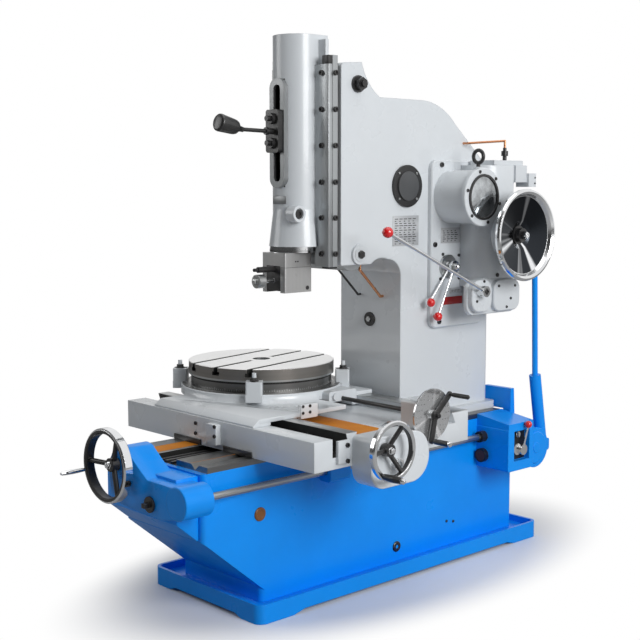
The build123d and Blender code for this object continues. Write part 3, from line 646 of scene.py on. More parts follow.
    def _bare(self) -> Iterable[Finish]:
        """List the bare and blackened metals.

        Returns:
            The finishes, before they are built.
        """
        fine = {"edge": 0.0015, "relief": 0.00004}
        yield Finish("ground_steel", self.STEEL, cut=(1.0, 1.0, 0.02), **fine)
        yield Finish("planed_steel", self.STEEL, cut=(1.0, 0.02, 1.0), **fine)
        yield Finish("guide_steel", Skin((0.44, 0.46, 0.47), (0.37, 0.385, 0.395), 0.36, 0.06, 0.85,
                                         drift=Drift.MARKS), cut=(1.0, 1.0, 0.02), **fine)
        yield Finish("head_steel", Skin((0.50, 0.50, 0.50), (0.42, 0.42, 0.415), 0.34, 0.06, 0.7,
                                        drift=Drift.MARKS),
                     # Near-black inside the tool cavity: painted shade.
                     (Accent(self.DARK, (box((-0.0425, -0.49, 1.21), (0.0425, -0.3955, 1.3235)),)),
                      Accent(self.DULL_STEEL, (box((-0.08, -0.50, 1.3165), (0.08, -0.33, 1.3185)),))),
                     cut=(1.0, 1.0, 0.02), **fine)
        yield Finish("slot_steel", Skin((0.30, 0.31, 0.315), (0.24, 0.25, 0.255), 0.36, 0.06, 0.6),
                     edge=0.0025, relief=0.0001)
        yield Finish("black_oxide", self.BLACK, wear=0.25, worn=(0.26, 0.25, 0.24), edge=0.0014,
                     relief=0.00008, grain=120.0)
        # Near-black pieces: painted shade in the clamp slots, and thin dark joint lines on the guide.
        yield Finish("dark_cavity", self.DARK, relief=0.0001)
        yield Finish("chrome_plate", self.BRIGHT, edge=0.001, relief=0.00001, grain=60.0)
        yield Finish("copper_tube", Skin((0.72, 0.34, 0.18), (0.50, 0.22, 0.11), 0.25, 0.1, 1.0), edge=0.0005,
                     relief=0.00003)

    def _small(self) -> Iterable[Finish]:
        """List the finishes of small pieces.

        Returns:
            The finishes, before they are built.
        """
        yield Finish("red_ball", Skin((0.75, 0.010, 0.012), (0.66, 0.008, 0.010), 0.16, 0.04, 0.0, 0.6),
                     edge=0.0005, relief=0.00002)
        yield Finish("black_plastic", Skin((0.014, 0.014, 0.014), (0.022, 0.022, 0.022), 0.34, 0.05, 0.0,
                                           0.2), edge=0.001, relief=0.00004, grain=90.0)
        yield Finish("etched_plate", Skin((0.70, 0.72, 0.74), (0.34, 0.35, 0.37), 0.40, 0.06, 0.2,
                                          drift=Drift.MARKS), edge=0.0006, cut=(1.0, 0.12, 1.0),
                     cut_scale=330.0, relief=0.00003)
        yield Finish("brown_plug", Skin((0.270, 0.095, 0.016), (0.16, 0.06, 0.012), 0.4, 0.08, 0.0, 0.1))
        yield Finish("scale_ink", Skin((0.012, 0.012, 0.012), (0.02, 0.02, 0.02), 0.5, 0.05), edge=0.0002)
        # Near-black glass with broad light patches in its colour: the patches are painted reflections.
        yield Finish("glass_painted_reflections", Skin((0.012, 0.013, 0.014), (0.55, 0.58, 0.60), 0.07, 0.03, 0.9, 1.0),
                     grain=72.0, edge=0.001, relief=0.00004)

    def _fitted(self) -> Iterable[Finish]:
        """List the finishes that follow one piece's own axis.

        Returns:
            The finishes, before they are built.
        """
        table, cover, plate = mm(*TABLE_AT), mm(*COVER_AT), mm(*DIVIDING_PLATE_AT)
        front, side, dish = mm(*FRONT_WHEEL_AT), mm(*CROSS_WHEEL_AT), mm(*DISH_WHEEL_AT)
        screw = mm(*TOOL_SCREW_AT)
        x, y, _ = table
        yield Finish("table_steel", Skin((0.30, 0.285, 0.265), (0.20, 0.19, 0.178), 0.34, 0.08, 0.9,
                                         drift=Drift.MARKS), (
            Accent(Skin((0.90, 0.90, 0.90), (0.78, 0.78, 0.77), 0.30, 0.06, 0.75, drift=Drift.MARKS),
                   (box((-0.7, -0.7, 0.8948), (0.1, 0.1, 0.90)),)),
            Accent(self.STEEL, (box((-0.7, -0.7, 0.8405), (0.1, 0.1, 0.8495)),)),
            # Darker steel below the rim's lip, a near-black line right under it and near-black inside the
            # T-slots: painted shade.
            Accent(self.DULL_STEEL, (box((-0.7, -0.7, 0.79), (0.1, 0.1, 0.8405)),)),
            Accent(self.DARK, (box((-0.7, -0.7, 0.832), (0.1, 0.1, 0.8405)),
                               drum((x, y, 0.8763), Axis.Z, 0.3132, 0.0178))),
            Accent(self.STEEL, (drum((x, y, 0.88), Axis.Z, 0.0385, 0.02),)),
        ), turned=(table, Axis.Z), cut_scale=420.0, sweep=0.35, edge=0.0012, relief=0.00005)
        yield Finish("housing_steel", self.DULL_STEEL, turned=(table, Axis.Z), cut_scale=260.0, sweep=0.4,
                     edge=0.001, relief=0.00012)
        # The dish's colour runs from near black to near white in streaks round its axis: painted reflections.
        cone = Skin((0.030, 0.034, 0.040), (0.88, 0.89, 0.91), 0.20, 0.02, 1.0, drift=Drift.PAINTED_SHEEN)
        yield Finish("dish_wheel", self.BRIGHT, (
            Accent(cone, (drum(dish, Axis.X, 0.168, 0.12),)),
            Accent(self.BLACK, (drum((0.447, *dish[1:]), Axis.X, 0.041, 0.028),)),
        ), turned=(dish, Axis.X), cut_scale=800.0, sweep=0.6, edge=0.0008, relief=0.00003)
        yield Finish("front_wheel", self.BRIGHT, (
            Accent(self.BLACK, (drum(front, Axis.Y, 0.134, 0.09),)),
            Accent(self.BRIGHT, (drum((-0.18557, -1.332, 0.57835), Axis.Y, 0.0098, 0.058),))),
            edge=0.001, relief=0.00002)
        yield Finish("cross_wheel", self.BRIGHT, (Accent(self.BLACK, (
            drum(side, Axis.X, 0.0945, 0.06), drum((0.80, -0.6248, 0.611), Axis.X, 0.0145, 0.0475))),),
            edge=0.001, relief=0.00002)
        yield Finish("hole_plate", self.GREY, (
            # The disc's colour drifts to near white in streaks round its axis: painted highlights on the
            # steel.
            Accent(Skin((0.62, 0.63, 0.64), (0.95, 0.95, 0.96), 0.22, 0.06, 0.8, drift=Drift.PAINTED_SHEEN),
                   (drum(plate, Axis.X, 0.106, 0.0098),)),),
            turned=(plate, Axis.X), cut_scale=500.0, sweep=0.5, edge=0.0008, relief=0.00004)
        yield Finish("cover_black", self.BLACK, (
            Accent(Skin((0.075, 0.078, 0.082), (0.055, 0.058, 0.062), 0.4, 0.06, 0.0, 0.1),
                   (drum(cover, Axis.X, 0.0622, 0.0046),)),),
            turned=(cover, Axis.X), cut_scale=300.0, sweep=0.3, edge=0.0015, relief=0.00006)
        yield Finish("clamp_black", self.BLACK, (
            Accent(self.STEEL, (drum(screw, Axis.Y, 0.0285, 0.026),)),
            Accent(self.BRIGHT, (drum((0.0, -0.5165, screw[2]), Axis.Y, 0.0095, 0.0285),))),
            turned=(screw, Axis.Y), cut_scale=500.0, sweep=0.3, edge=0.001, relief=0.00004)
        yield Finish("ring_steel", self.BRIGHT, turned=((0.0, -0.375, 0.0), Axis.Z), cut_scale=500.0,
                     sweep=0.5, edge=0.0006, relief=0.00003)


class Mesher:
    """Makes the meshes: turned shapes, rods, prisms and blocks, each with its place in its mesh."""

    WELD = 1e-6
    SHARP = 40.0
    THIN_SHARE = 0.45

    @staticmethod
    def piece(name: str, bm: bmesh.types.BMesh, material: bpy.types.Material,
              smooth: float = 35.0) -> bpy.types.Object:
        """Turn a bmesh into a finished object.

        Args:
            name: the piece's name.
            bm: its shape, which is freed.
            material: its finish.
            smooth: edges flatter than this many degrees are shaded smooth.

        Returns:
            The object, at the origin.
        """
        bmesh.ops.remove_doubles(bm, verts=bm.verts, dist=Mesher.WELD)
        bmesh.ops.recalc_face_normals(bm, faces=bm.faces)
        for face in bm.faces:
            face.smooth = True
        for edge in bm.edges:
            if len(edge.link_faces) == 2 and edge.calc_face_angle(0.0) > math.radians(smooth):
                edge.smooth = False
        mesh = bpy.data.meshes.new(name)
        bm.to_mesh(mesh)
        bm.free()
        mesh.materials.append(material)
        obj = bpy.data.objects.new(name, mesh)
        bpy.context.scene.collection.objects.link(obj)
        return obj

    @staticmethod
    def turned(bm: bmesh.types.BMesh, outline: Outline, at: Point, axis: Axis | Point,
               steps: int = 40) -> None:
        """Add a shape turned from an outline.

        Args:
            bm: the bmesh to add to.
            outline: (along, radius) pairs in millimetres, closed on themselves.
            at: where the outline's zero lies, in metres.
            axis: the way its axis points.
            steps: how many faces go round.
        """
        place = Matrix.Translation(Vector(at)) @ turn_to(axis)
        rings: list[list[bmesh.types.BMVert]] = []
        for along, radius in outline:
            if radius <= 0.0:
                rings.append([bm.verts.new(place @ Vector((0.0, 0.0, along * MM)))])
                continue
            ring = []
            for k in range(steps):
                a = 2 * math.pi * k / steps
                spot = (radius * MM * math.cos(a), radius * MM * math.sin(a), along * MM)
                ring.append(bm.verts.new(place @ Vector(spot)))
            rings.append(ring)
        for one, two in zip(rings, rings[1:] + rings[:1]):
            if len(one) == 1 and len(two) == 1:
                continue
            for k in range(steps):
                here, there = (k, k + 1), (k + 1, k)
                corners = [*(one[j % len(one)] for j in here), *(two[j % len(two)] for j in there)]
                unique = list(dict.fromkeys(corners))
                if len(unique) > 2:
                    bm.faces.new(unique)

    @staticmethod
    def rod(bm: bmesh.types.BMesh, start: Point, end: Point, radius: float, steps: int = 20) -> None:
        """Add a round rod between two points.

        Args:
            bm: the bmesh to add to.
            start: one end in millimetres.
            end: the other end in millimetres.
            radius: its radius in millimetres.
            steps: how many faces go round.
        """
        way = Vector(end) - Vector(start)
        outline = [(0.0, 0.0), (0.0, radius), (way.length, radius), (way.length, 0.0)]
        Mesher.turned(bm, outline, mm(*start), tuple(way), steps)

    @staticmethod
    def prism(bm: bmesh.types.BMesh, outline: Outline, axis: Axis, start: float, end: float,
              bevel: float = 1.0, place: Matrix = Matrix()) -> None:
        """Add an outline pulled along an axis, its sharp edges rounded off.

        Args:
            bm: the bmesh to add to.
            outline: the corners in millimetres, (y, z) along X, (x, z) along Y or (x, y) along Z.
            axis: X, Y or Z.
            start: where it starts along the axis in millimetres.
            end: where it ends along the axis in millimetres.
            bevel: the radius of its edges in millimetres.
            place: where the prism is moved to.
        """
        order = {Axis.X: (2, 0, 1), Axis.Y: (0, 2, 1), Axis.Z: (0, 1, 2)}[axis]
        rings = []
        for level in (start, end):
            spots = [(a, b, level) for a, b in outline]
            rings.append([bm.verts.new(place @ Vector([spot[k] * MM for k in order])) for spot in spots])
        faces = [bm.faces.new(ring) for ring in rings]
        for k in range(len(outline)):
            corner = (k + 1) % len(outline)
            faces.append(bm.faces.new((rings[0][k], rings[0][corner], rings[1][corner], rings[1][k])))
        bmesh.ops.recalc_face_normals(bm, faces=faces)
        limit = math.radians(Mesher.SHARP)
        sharp = {edge for face in faces for edge in face.edges if edge.calc_face_angle(0.0) > limit}
        if bevel:
            bmesh.ops.bevel(bm, geom=list(sharp), offset=bevel * MM, segments=2, profile=0.5, affect="EDGES",
                            clamp_overlap=True)

    @staticmethod
    def block(bm: bmesh.types.BMesh, low: Point, high: Point, bevel: float = 0.0006,
              place: Matrix = Matrix()) -> None:
        """Add a block with rounded edges.

        Args:
            bm: the bmesh to add to.
            low: its lowest corner in metres.
            high: its highest corner in metres.
            bevel: the radius of its edges in metres.
            place: where the block is moved to.
        """
        made = bmesh.ops.create_cube(bm, size=1.0)["verts"]
        size = [b - a for a, b in zip(low, high)]
        middle = [(a + b) / 2 for a, b in zip(low, high)]
        for vert in made:
            vert.co = place @ Vector([m + c * s for m, c, s in zip(middle, vert.co, size)])
        edges = list({edge for vert in made for edge in vert.link_edges})
        bmesh.ops.bevel(bm, geom=edges, offset=min(bevel, min(size) * Mesher.THIN_SHARE), segments=2,
                        profile=0.5, affect="EDGES")


class Repeats:
    """The geometry trees that lay out what repeats: screws and scale marks.

    The shares are of a head's height, or of its radius for the taper, the mouth and the hidden washer.
    """

    CHAMFER = 0.14
    TAPER = 0.88
    MOUTH = 0.62
    WASHER_HEIGHT = 0.28
    HIDDEN_WASHER = 0.7
    LONGER = 0.7
    MARK_HEIGHT = 0.0005

    def __init__(self) -> None:
        """Build both trees."""
        self.screws = self._screw_tree()
        self.marks = self._mark_tree()

    @staticmethod
    def _start(name: str, inputs: Mapping[str, tuple[str, Any]]) -> tuple[Graph, Any, Any, dict[str, str]]:
        """Start a geometry tree.

        Args:
            name: the tree's name.
            inputs: each input's name with its socket kind and default.

        Returns:
            The graph, its input and output nodes, and each input's identifier.
        """
        tree = bpy.data.node_groups.new(name, "GeometryNodeTree")
        tree.is_modifier = True
        tree.interface.new_socket("Geometry", in_out="INPUT", socket_type="NodeSocketGeometry")
        tree.interface.new_socket("Geometry", in_out="OUTPUT", socket_type="NodeSocketGeometry")
        names = {}
        for label, (kind, value) in inputs.items():
            socket = tree.interface.new_socket(label, in_out="INPUT", socket_type=f"NodeSocket{kind}")
            if value is not None:
                socket.default_value = value
            names[label] = socket.identifier
        graph = Graph(tree)
        return graph, graph.add("NodeGroupInput"), graph.add("NodeGroupOutput"), names

    def _screw_tree(self) -> tuple[bpy.types.NodeTree, dict[str, str]]:
        """Lay a head on every point: a chamfered drum with a recess, over a washer.

        Returns:
            The tree and its inputs' identifiers.
        """
        g, gin, out, names = self._start("screw_heads", {
            "Sides": ("Int", 24), "Radius": ("Float", 0.008), "Height": ("Float", 0.006),
            "Recess": ("Float", 0.003), "Washer": ("Float", 0.0), "Direction": ("Vector", (0.0, 0.0, 1.0)),
            "Material": ("Material", None)})
        put = gin.outputs
        drum = g.add("GeometryNodeMeshCylinder", {"Vertices": put["Sides"], "Radius": put["Radius"],
                                                  "Depth": put["Height"]})
        rise = self._extrude(g, self._lift(g, drum, put["Height"]), drum.outputs["Top"],
                             g.math("MULTIPLY", put["Height"], self.CHAMFER))
        rim = self._extrude(g, self._shrink(g, rise, self.TAPER), rise.outputs["Top"], 0.0)
        sunk = self._extrude(g, self._shrink(g, rim, self.MOUTH), rim.outputs["Top"],
                             g.math("MULTIPLY", put["Recess"], -1.0))
        thin = g.math("MULTIPLY", put["Height"], self.WASHER_HEIGHT)
        washer = g.add("GeometryNodeMeshCylinder", {"Vertices": 24, "Radius": put["Washer"], "Depth": thin})
        both = g.add("GeometryNodeJoinGeometry")
        for shape in (sunk.outputs["Mesh"], self._lift(g, washer, thin)):
            g.tree.links.new(shape, both.inputs[0])
        aim = g.add("FunctionNodeAlignRotationToVector", {"Vector": put["Direction"]}, axis="Z")
        spread = g.add("GeometryNodeInstanceOnPoints", {
            "Points": put["Geometry"], "Instance": both.outputs[0], "Rotation": aim.outputs[0]})
        self._finish(g, spread.outputs[0], put["Material"], out)
        return g.tree, names

    @staticmethod
    def _lift(g: Graph, shape: bpy.types.Node, height: Socket) -> Socket:
        """Lift a drum by half its height.

        Args:
            g: the tree's graph.
            shape: the drum's node.
            height: its height.

        Returns:
            The lifted mesh.
        """
        offset = g.add("ShaderNodeCombineXYZ", {2: g.math("MULTIPLY", height, 0.5)}).outputs[0]
        inputs = {"Geometry": shape.outputs["Mesh"], "Translation": offset}
        return g.add("GeometryNodeTransform", inputs).outputs[0]

    @staticmethod
    def _extrude(g: Graph, mesh: Socket, faces: Socket, by: Any) -> bpy.types.Node:
        """Pull faces out of a mesh.

        Args:
            g: the tree's graph.
            mesh: the mesh.
            faces: which faces are pulled.
            by: how far, a number or socket.

        Returns:
            The node, with the mesh and its new top.
        """
        return g.add("GeometryNodeExtrudeMesh", {"Mesh": mesh, "Selection": faces, "Offset Scale": by},
                     mode="FACES")

    @staticmethod
    def _shrink(g: Graph, pulled: bpy.types.Node, share: float) -> Socket:
        """Shrink the top that was pulled out.

        Args:
            g: the tree's graph.
            pulled: the node that pulled it.
            share: how large it stays.

        Returns:
            The mesh.
        """
        return g.add("GeometryNodeScaleElements", {
            "Geometry": pulled.outputs["Mesh"], "Selection": pulled.outputs["Top"], "Scale": share},
            domain="FACE").outputs[0]

    def _mark_tree(self) -> tuple[bpy.types.NodeTree, dict[str, str]]:
        """Lay marks round a circle, every so many of them longer.

        Returns:
            The tree and its inputs' identifiers.
        """
        g, gin, out, names = self._start("scale_marks", {
            "Count": ("Int", 60), "Radius": ("Float", 0.1), "Size": ("Vector", (0.0005, 0.0006, 0.004)),
            "Grow": ("Vector", (0.0, 0.0, 1.0)), "Every": ("Int", 5), "Longer": ("Float", 0.7),
            "Material": ("Material", None)})
        put = gin.outputs
        circle = g.add("GeometryNodeMeshCircle", {"Vertices": put["Count"], "Radius": put["Radius"]})
        mark = g.add("GeometryNodeMeshCube", {"Size": put["Size"]})
        along = g.vector("MULTIPLY", put["Size"], put["Grow"])
        hung = g.add("GeometryNodeTransform", {"Geometry": mark.outputs["Mesh"],
                                               "Translation": g.vector("MULTIPLY", along, (0.5, 0.5, 0.5))})
        away = g.add("GeometryNodeInputPosition").outputs[0]
        aim = g.add("FunctionNodeAlignRotationToVector", {"Vector": away}, axis="X")
        place = g.math("MODULO", g.add("GeometryNodeInputIndex").outputs[0], put["Every"])
        extra = g.math("MULTIPLY", g.math("LESS_THAN", place, 0.5), put["Longer"])
        more = g.add("ShaderNodeVectorMath", {0: put["Grow"], "Scale": extra}, operation="SCALE").outputs[0]
        size = g.vector("ADD", more, (1.0, 1.0, 1.0))
        spread = g.add("GeometryNodeInstanceOnPoints", {
            "Points": circle.outputs["Mesh"], "Instance": hung.outputs[0], "Rotation": aim.outputs[0],
            "Scale": size})
        self._finish(g, spread.outputs[0], put["Material"], out)
        return g.tree, names

    @staticmethod
    def _finish(g: Graph, shape: Socket, material: Socket, out: bpy.types.Node) -> None:
        """End a tree in real geometry with its material.

        Args:
            g: the tree's graph.
            shape: the instances.
            material: the material input.
            out: the output node.
        """
        real = g.add("GeometryNodeRealizeInstances", {0: shape})
        dressed = g.add("GeometryNodeSetMaterial", {"Geometry": real.outputs[0], "Material": material})
        g.tree.links.new(dressed.outputs[0], out.inputs[0])

    @staticmethod
    def _run(name: str, tree: bpy.types.NodeTree, names: Mapping[str, str], values: Mapping[str, Any],
             points: Sequence[Point]) -> bpy.types.Mesh:
        """Run a tree once and keep its result as a plain mesh.

        Args:
            name: the mesh's name.
            tree: the geometry tree.
            names: each input's identifier.
            values: a value for each input.
            points: the points that the tree starts from.

        Returns:
            The mesh.
        """
        seed = bpy.data.meshes.new(name + "_points")
        seed.from_pydata([tuple(p) for p in points], [], [])
        carrier = bpy.data.objects.new(name + "_carrier", seed)
        bpy.context.scene.collection.objects.link(carrier)
        modifier = carrier.modifiers.new("layout", "NODES")
        modifier.node_group = tree
        for label, value in values.items():
            modifier[names[label]] = value
        depsgraph = bpy.context.evaluated_depsgraph_get()
        mesh = bpy.data.meshes.new_from_object(carrier.evaluated_get(depsgraph))
        carrier.modifiers.remove(modifier)
        bpy.data.objects.remove(carrier)
        mesh.name = name
        return mesh

    def fasten(self, name: str, points: Sequence[Point], direction: Axis, radius: float, height: float,
               head: Head, material: bpy.types.Material, washer: float = 0.0) -> bpy.types.Object:
        """Lay screws with one head on a list of points.

        Args:
            name: the piece's name.
            points: where each head stands, in metres.
            direction: the way the heads look.
            radius: a head's radius in metres.
            height: a head's height in metres.
            head: the kind of head.
            material: the finish.
            washer: the washer's radius in metres, or 0.

        Returns:
            The piece.
        """
        tree, names = self.screws
        sides, recess = head.value
        values = {"Sides": sides, "Radius": radius, "Height": height * (1.0 - self.CHAMFER),
                  "Recess": height * recess, "Washer": max(washer, radius * self.HIDDEN_WASHER),
                  "Direction": direction.value, "Material": material}
        mesh = self._run(name, tree, names, values, points)
        return self._keep(name, mesh, material)

    def scale(self, name: str, at: Point, axis: Axis, radius: float, count: int, length: float,
              material: bpy.types.Material, every: int = 5, width: float = 0.0006,
              flat: bool = False) -> bpy.types.Object:
        """Lay marks round a drum's side or on its face.

        Args:
            name: the piece's name.
            at: the circle's centre in metres.
            axis: the way the circle's axis points.
            radius: the circle's radius in metres.
            count: how many marks there are.
            length: a short mark's length in metres.
            material: the finish.
            every: every so many marks one is longer.
            width: a mark's width in metres.
            flat: whether the marks lie on the face and grow outwards.

        Returns:
            The piece.
        """
        tree, names = self.marks
        size, grow = [self.MARK_HEIGHT, width, length], Axis.Z
        if flat:
            size, grow = size[::-1], Axis.X
        values = {"Count": count, "Radius": radius, "Size": size, "Grow": grow.value, "Every": every,
                  "Longer": self.LONGER, "Material": material}
        mesh = self._run(name, tree, names, values, [(0.0, 0.0, 0.0)])
        mesh.transform(Matrix.Translation(Vector(at)) @ turn_to(axis))
        return self._keep(name, mesh, material)

    @staticmethod
    def _keep(name: str, mesh: bpy.types.Mesh, material: bpy.types.Material) -> bpy.types.Object:
        """Make an object of a mesh.

        Args:
            name: the object's name.
            mesh: its mesh.
            material: its finish.

        Returns:
            The object, at the origin.
        """
        mesh.materials.clear()
        mesh.materials.append(material)
        for polygon in mesh.polygons:
            polygon.material_index = 0
        obj = bpy.data.objects.new(name, mesh)
        bpy.context.scene.collection.objects.link(obj)
        return obj


@dataclass
class Workshop:
    """What every sub-assembly works with.

    Attributes:
        frame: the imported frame.
        finishes: the built finishes.
        repeats: the geometry trees.
        count: how many pieces were made.
    """

    frame: dict[str, Any]
    finishes: Palette
    repeats: Repeats
    count: int = 0

    def dress(self, finish: str, *nodes: str) -> None:
        """Give nodes of the frame a finish.

        Args:
            finish: the finish's name.
            nodes: the nodes' names.
        """
        for node in nodes:
            materials = self.frame["nodes"][node].data.materials
            materials.clear()
            materials.append(self.finishes[finish])

    def fit(self, piece: bpy.types.Object, body: str, finish: str) -> bpy.types.Object:
        """Let a piece ride on a body, count it and log its faces.

        Args:
            piece: the finished piece.
            body: the body it rides on.
            finish: the finish's name.

        Returns:
            The same piece.
        """
        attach(piece, body)
        slot = self.finishes.slot(finish)
        self.count += 1
        LOG.info("piece %s on %s: %d faces", piece.name, body, len(piece.data.polygons))
        return piece

    def bore(self, piece: bpy.types.Object, start: Point, end: Point, radius: float) -> None:
        """Bore a round hole through a piece.

        Args:
            piece: the piece.
            start: one end of the hole in millimetres.
            end: the other end in millimetres.
            radius: the hole's radius in millimetres.
        """
        bm = bmesh.new()
        Mesher.rod(bm, start, end, radius, 32)
        cutter = Mesher.piece("cutter", bm, piece.data.materials[0])
        modifier = piece.modifiers.new("bore", "BOOLEAN")
        modifier.object, modifier.operation, modifier.solver = cutter, "DIFFERENCE", "EXACT"
        modifier.use_self = True
        depsgraph = bpy.context.evaluated_depsgraph_get()
        piece.data = bpy.data.meshes.new_from_object(piece.evaluated_get(depsgraph))
        piece.modifiers.remove(modifier)
        bpy.data.objects.remove(cutter)

    def form(self, name: str, bm: bmesh.types.BMesh, finish: str, body: str, *nodes: str) -> bpy.types.Object:
        """Fit a piece of any form.

        Args:
            name: the piece's name.
            bm: its shape, which is freed.
            finish: the finish's name.
            body: the body it rides on.
            nodes: the nodes that it stands in for.

        Returns:
            The piece.
        """
        piece = self.fit(Mesher.piece(name, bm, self.finishes[finish]), body, finish)
        for node in nodes:
            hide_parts(node)
        return piece

    def turned(self, name: str, outline: Outline, at: Point, finish: str, body: str, axis: Axis = Axis.X,
               steps: int = 40) -> bpy.types.Object:
        """Make a turned piece.

        Args:
            name: the piece's name.
            outline: (along, radius) pairs in millimetres.
            at: where the outline's zero lies, in metres.
            finish: the finish's name.
            body: the body it rides on.
            axis: the way its axis points.
            steps: how many faces go round.

        Returns:
            The piece.
        """
        bm = bmesh.new()
        Mesher.turned(bm, outline, at, axis, steps)
        return self.form(name, bm, finish, body)

    def blocks(self, name: str, boxes: Iterable[tuple[Point, Point]], finish: str, body: str,
               bevel: float = 0.0006, places: Iterable[Matrix] = (Matrix(),)) -> bpy.types.Object:
        """Make one piece of rounded blocks.

        Args:
            name: the piece's name.
            boxes: the lowest and highest corner of each block in metres.
            finish: the finish's name.
            body: the body it rides on.
            bevel: the radius of the edges in metres.
            places: where the blocks are repeated.

        Returns:
            The piece.
        """
        bm = bmesh.new()
        for place in places:
            for low, high in boxes:
                Mesher.block(bm, low, high, bevel, place)
        return self.fit(Mesher.piece(name, bm, self.finishes[finish], 50.0), body, finish)

    def plate(self, name: str, x: float, ys: tuple[float, float], zs: tuple[float, float]) -> None:
        """Fix an etched plate with ruled fields and four rivets on a side face of the frame.

        Args:
            name: the plate's name.
            x: where the face lies, in millimetres.
            ys: its lowest and highest y in millimetres.
            zs: its lowest and highest z in millimetres.
        """
        self.blocks(name, [(mm(x - 0.5, ys[0], zs[0]), mm(x + 1.5, ys[1], zs[1]))], "etched_plate", "frame",
                    0.0004)
        column_width, row_height, side_margin, end_margin, inset = 30, 11, 12, 7, 1
        columns = max(2, round((ys[1] - ys[0]) / column_width))
        rows = max(2, round((zs[1] - zs[0]) / row_height))
        wide = (ys[1] - ys[0] - 2 * side_margin) / columns
        high = (zs[1] - zs[0] - 2 * end_margin) / rows
        shortest, longer_by, thickness = 0.34, 0.13, 0.34
        fills = []
        for column, row in ((c, r) for c in range(columns) for r in range(rows)):
            length = wide * (shortest + longer_by * ((5 * column + 3 * row) % 5))
            y = ys[0] + side_margin + inset + wide * column
            z = zs[0] + end_margin + inset + high * row
            fills.append((mm(x + 1.45, y, z), mm(x + 1.7, y + length, z + high * thickness)))
        self.blocks(f"{name}_rules", fills, "scale_ink", "frame", 0.0)
        corners = [(x + 1.4, y, z) for y in (ys[0] + 5, ys[1] - 5) for z in (zs[0] + 5, zs[1] - 5)]
        self.screws(f"{name}_rivets", corners, 2.4, 1.5, "frame", head=Head.BUTTON, finish="ground_steel")

    def screws(self, name: str, points: Sequence[Point], radius: float, height: float, body: str,
               direction: Axis = Axis.X, head: Head = Head.SOCKET, finish: str = "black_oxide",
               washer: float = 0.0) -> None:
        """Lay screws on a body.

        Args:
            name: the piece's name.
            points: where the heads stand, in millimetres.
            radius: a head's radius in millimetres.
            height: a head's height in millimetres.
            body: the body they ride on.
            direction: the way they look.
            head: the kind of head.
            finish: the finish's name.
            washer: the washer's radius in millimetres, or 0.
        """
        places = [tuple(c * MM for c in point) for point in points]
        piece = self.repeats.fasten(name, places, direction, radius * MM, height * MM, head,
                                    self.finishes[finish], washer * MM)
        self.fit(piece, body, finish)


def rounded(corners: Sequence[tuple[float, float, float]], steps: int = 10) -> list[tuple[float, float]]:
    """An outline with rounded corners.

    Args:
        corners: (across, up, radius) of each corner in millimetres, in order.
        steps: how many faces go round a corner.

    Returns:
        The outline's points.
    """
    outline: list[tuple[float, float]] = []
    for k, (across, up, radius) in enumerate(corners):
        here = Vector((across, up))
        if not radius:
            outline.append((across, up))
            continue
        before = (Vector(corners[k - 1][:2]) - here).normalized()
        after = (Vector(corners[(k + 1) % len(corners)][:2]) - here).normalized()
        half = before.angle(after) / 2
        centre = here + (before + after).normalized() * radius / math.sin(half)
        first, last = (here + side * radius / math.tan(half) - centre for side in (before, after))
        sweep = first.angle(last)
        for step in range(steps + 1):
            angle = sweep * step / steps
            spot = centre + (first * math.sin(sweep - angle) + last * math.sin(angle)) / math.sin(sweep)
            outline.append((spot.x, spot.y))
    return outline


def ring(inner: float, outer: float, length: float, lip: float = 1.0) -> list[tuple[float, float]]:
    """The outline of a ring with small chamfers.

    Args:
        inner: its bore's radius in millimetres.
        outer: its outer radius in millimetres.
        length: its length in millimetres.
        lip: the size of its chamfers in millimetres.

    Returns:
        The outline as (along, radius) pairs.
    """
    return [(0.0, inner), (0.0, outer), (length - lip, outer), (length, outer - lip), (length, inner + lip),
            (length - lip, inner)]


def knob(radius: float, neck: float, steps: int = 14) -> list[tuple[float, float]]:
    """The outline of a ball with a short neck.

    Args:
        radius: the ball's radius in millimetres.
        neck: the neck's radius in millimetres.
        steps: how many faces go from neck to tip.

    Returns:
        The outline as (along, radius) pairs, centred on the ball.
    """
    start = math.asin(min(1.0, neck / radius))
    angles = [start + (math.pi - start) * k / steps for k in range(steps + 1)]
    arc = [(-radius * math.cos(angle), radius * math.sin(angle)) for angle in angles]
    arc[-1] = (radius, 0.0)
    return [(-radius - 4.0, 0.0), (-radius - 4.0, neck), *arc]


# The outline of a flanged nut, as (along, radius) pairs in millimetres.
NUT = [(0.0, 0.0), (0.0, 15.0), (3.0, 15.0), (3.0, 12.0), (12.0, 12.0), (15.0, 9.0), (15.0, 0.0)]


@dataclass
class SubAssembly(ABC):
    """A part of the machine whose pieces are made together, its sizes in millimetres.

    Attributes:
        shop: the shared workshop.
    """

    shop: Workshop

    @abstractmethod
    def build(self) -> None:
        """Dress the nodes and add the pieces."""


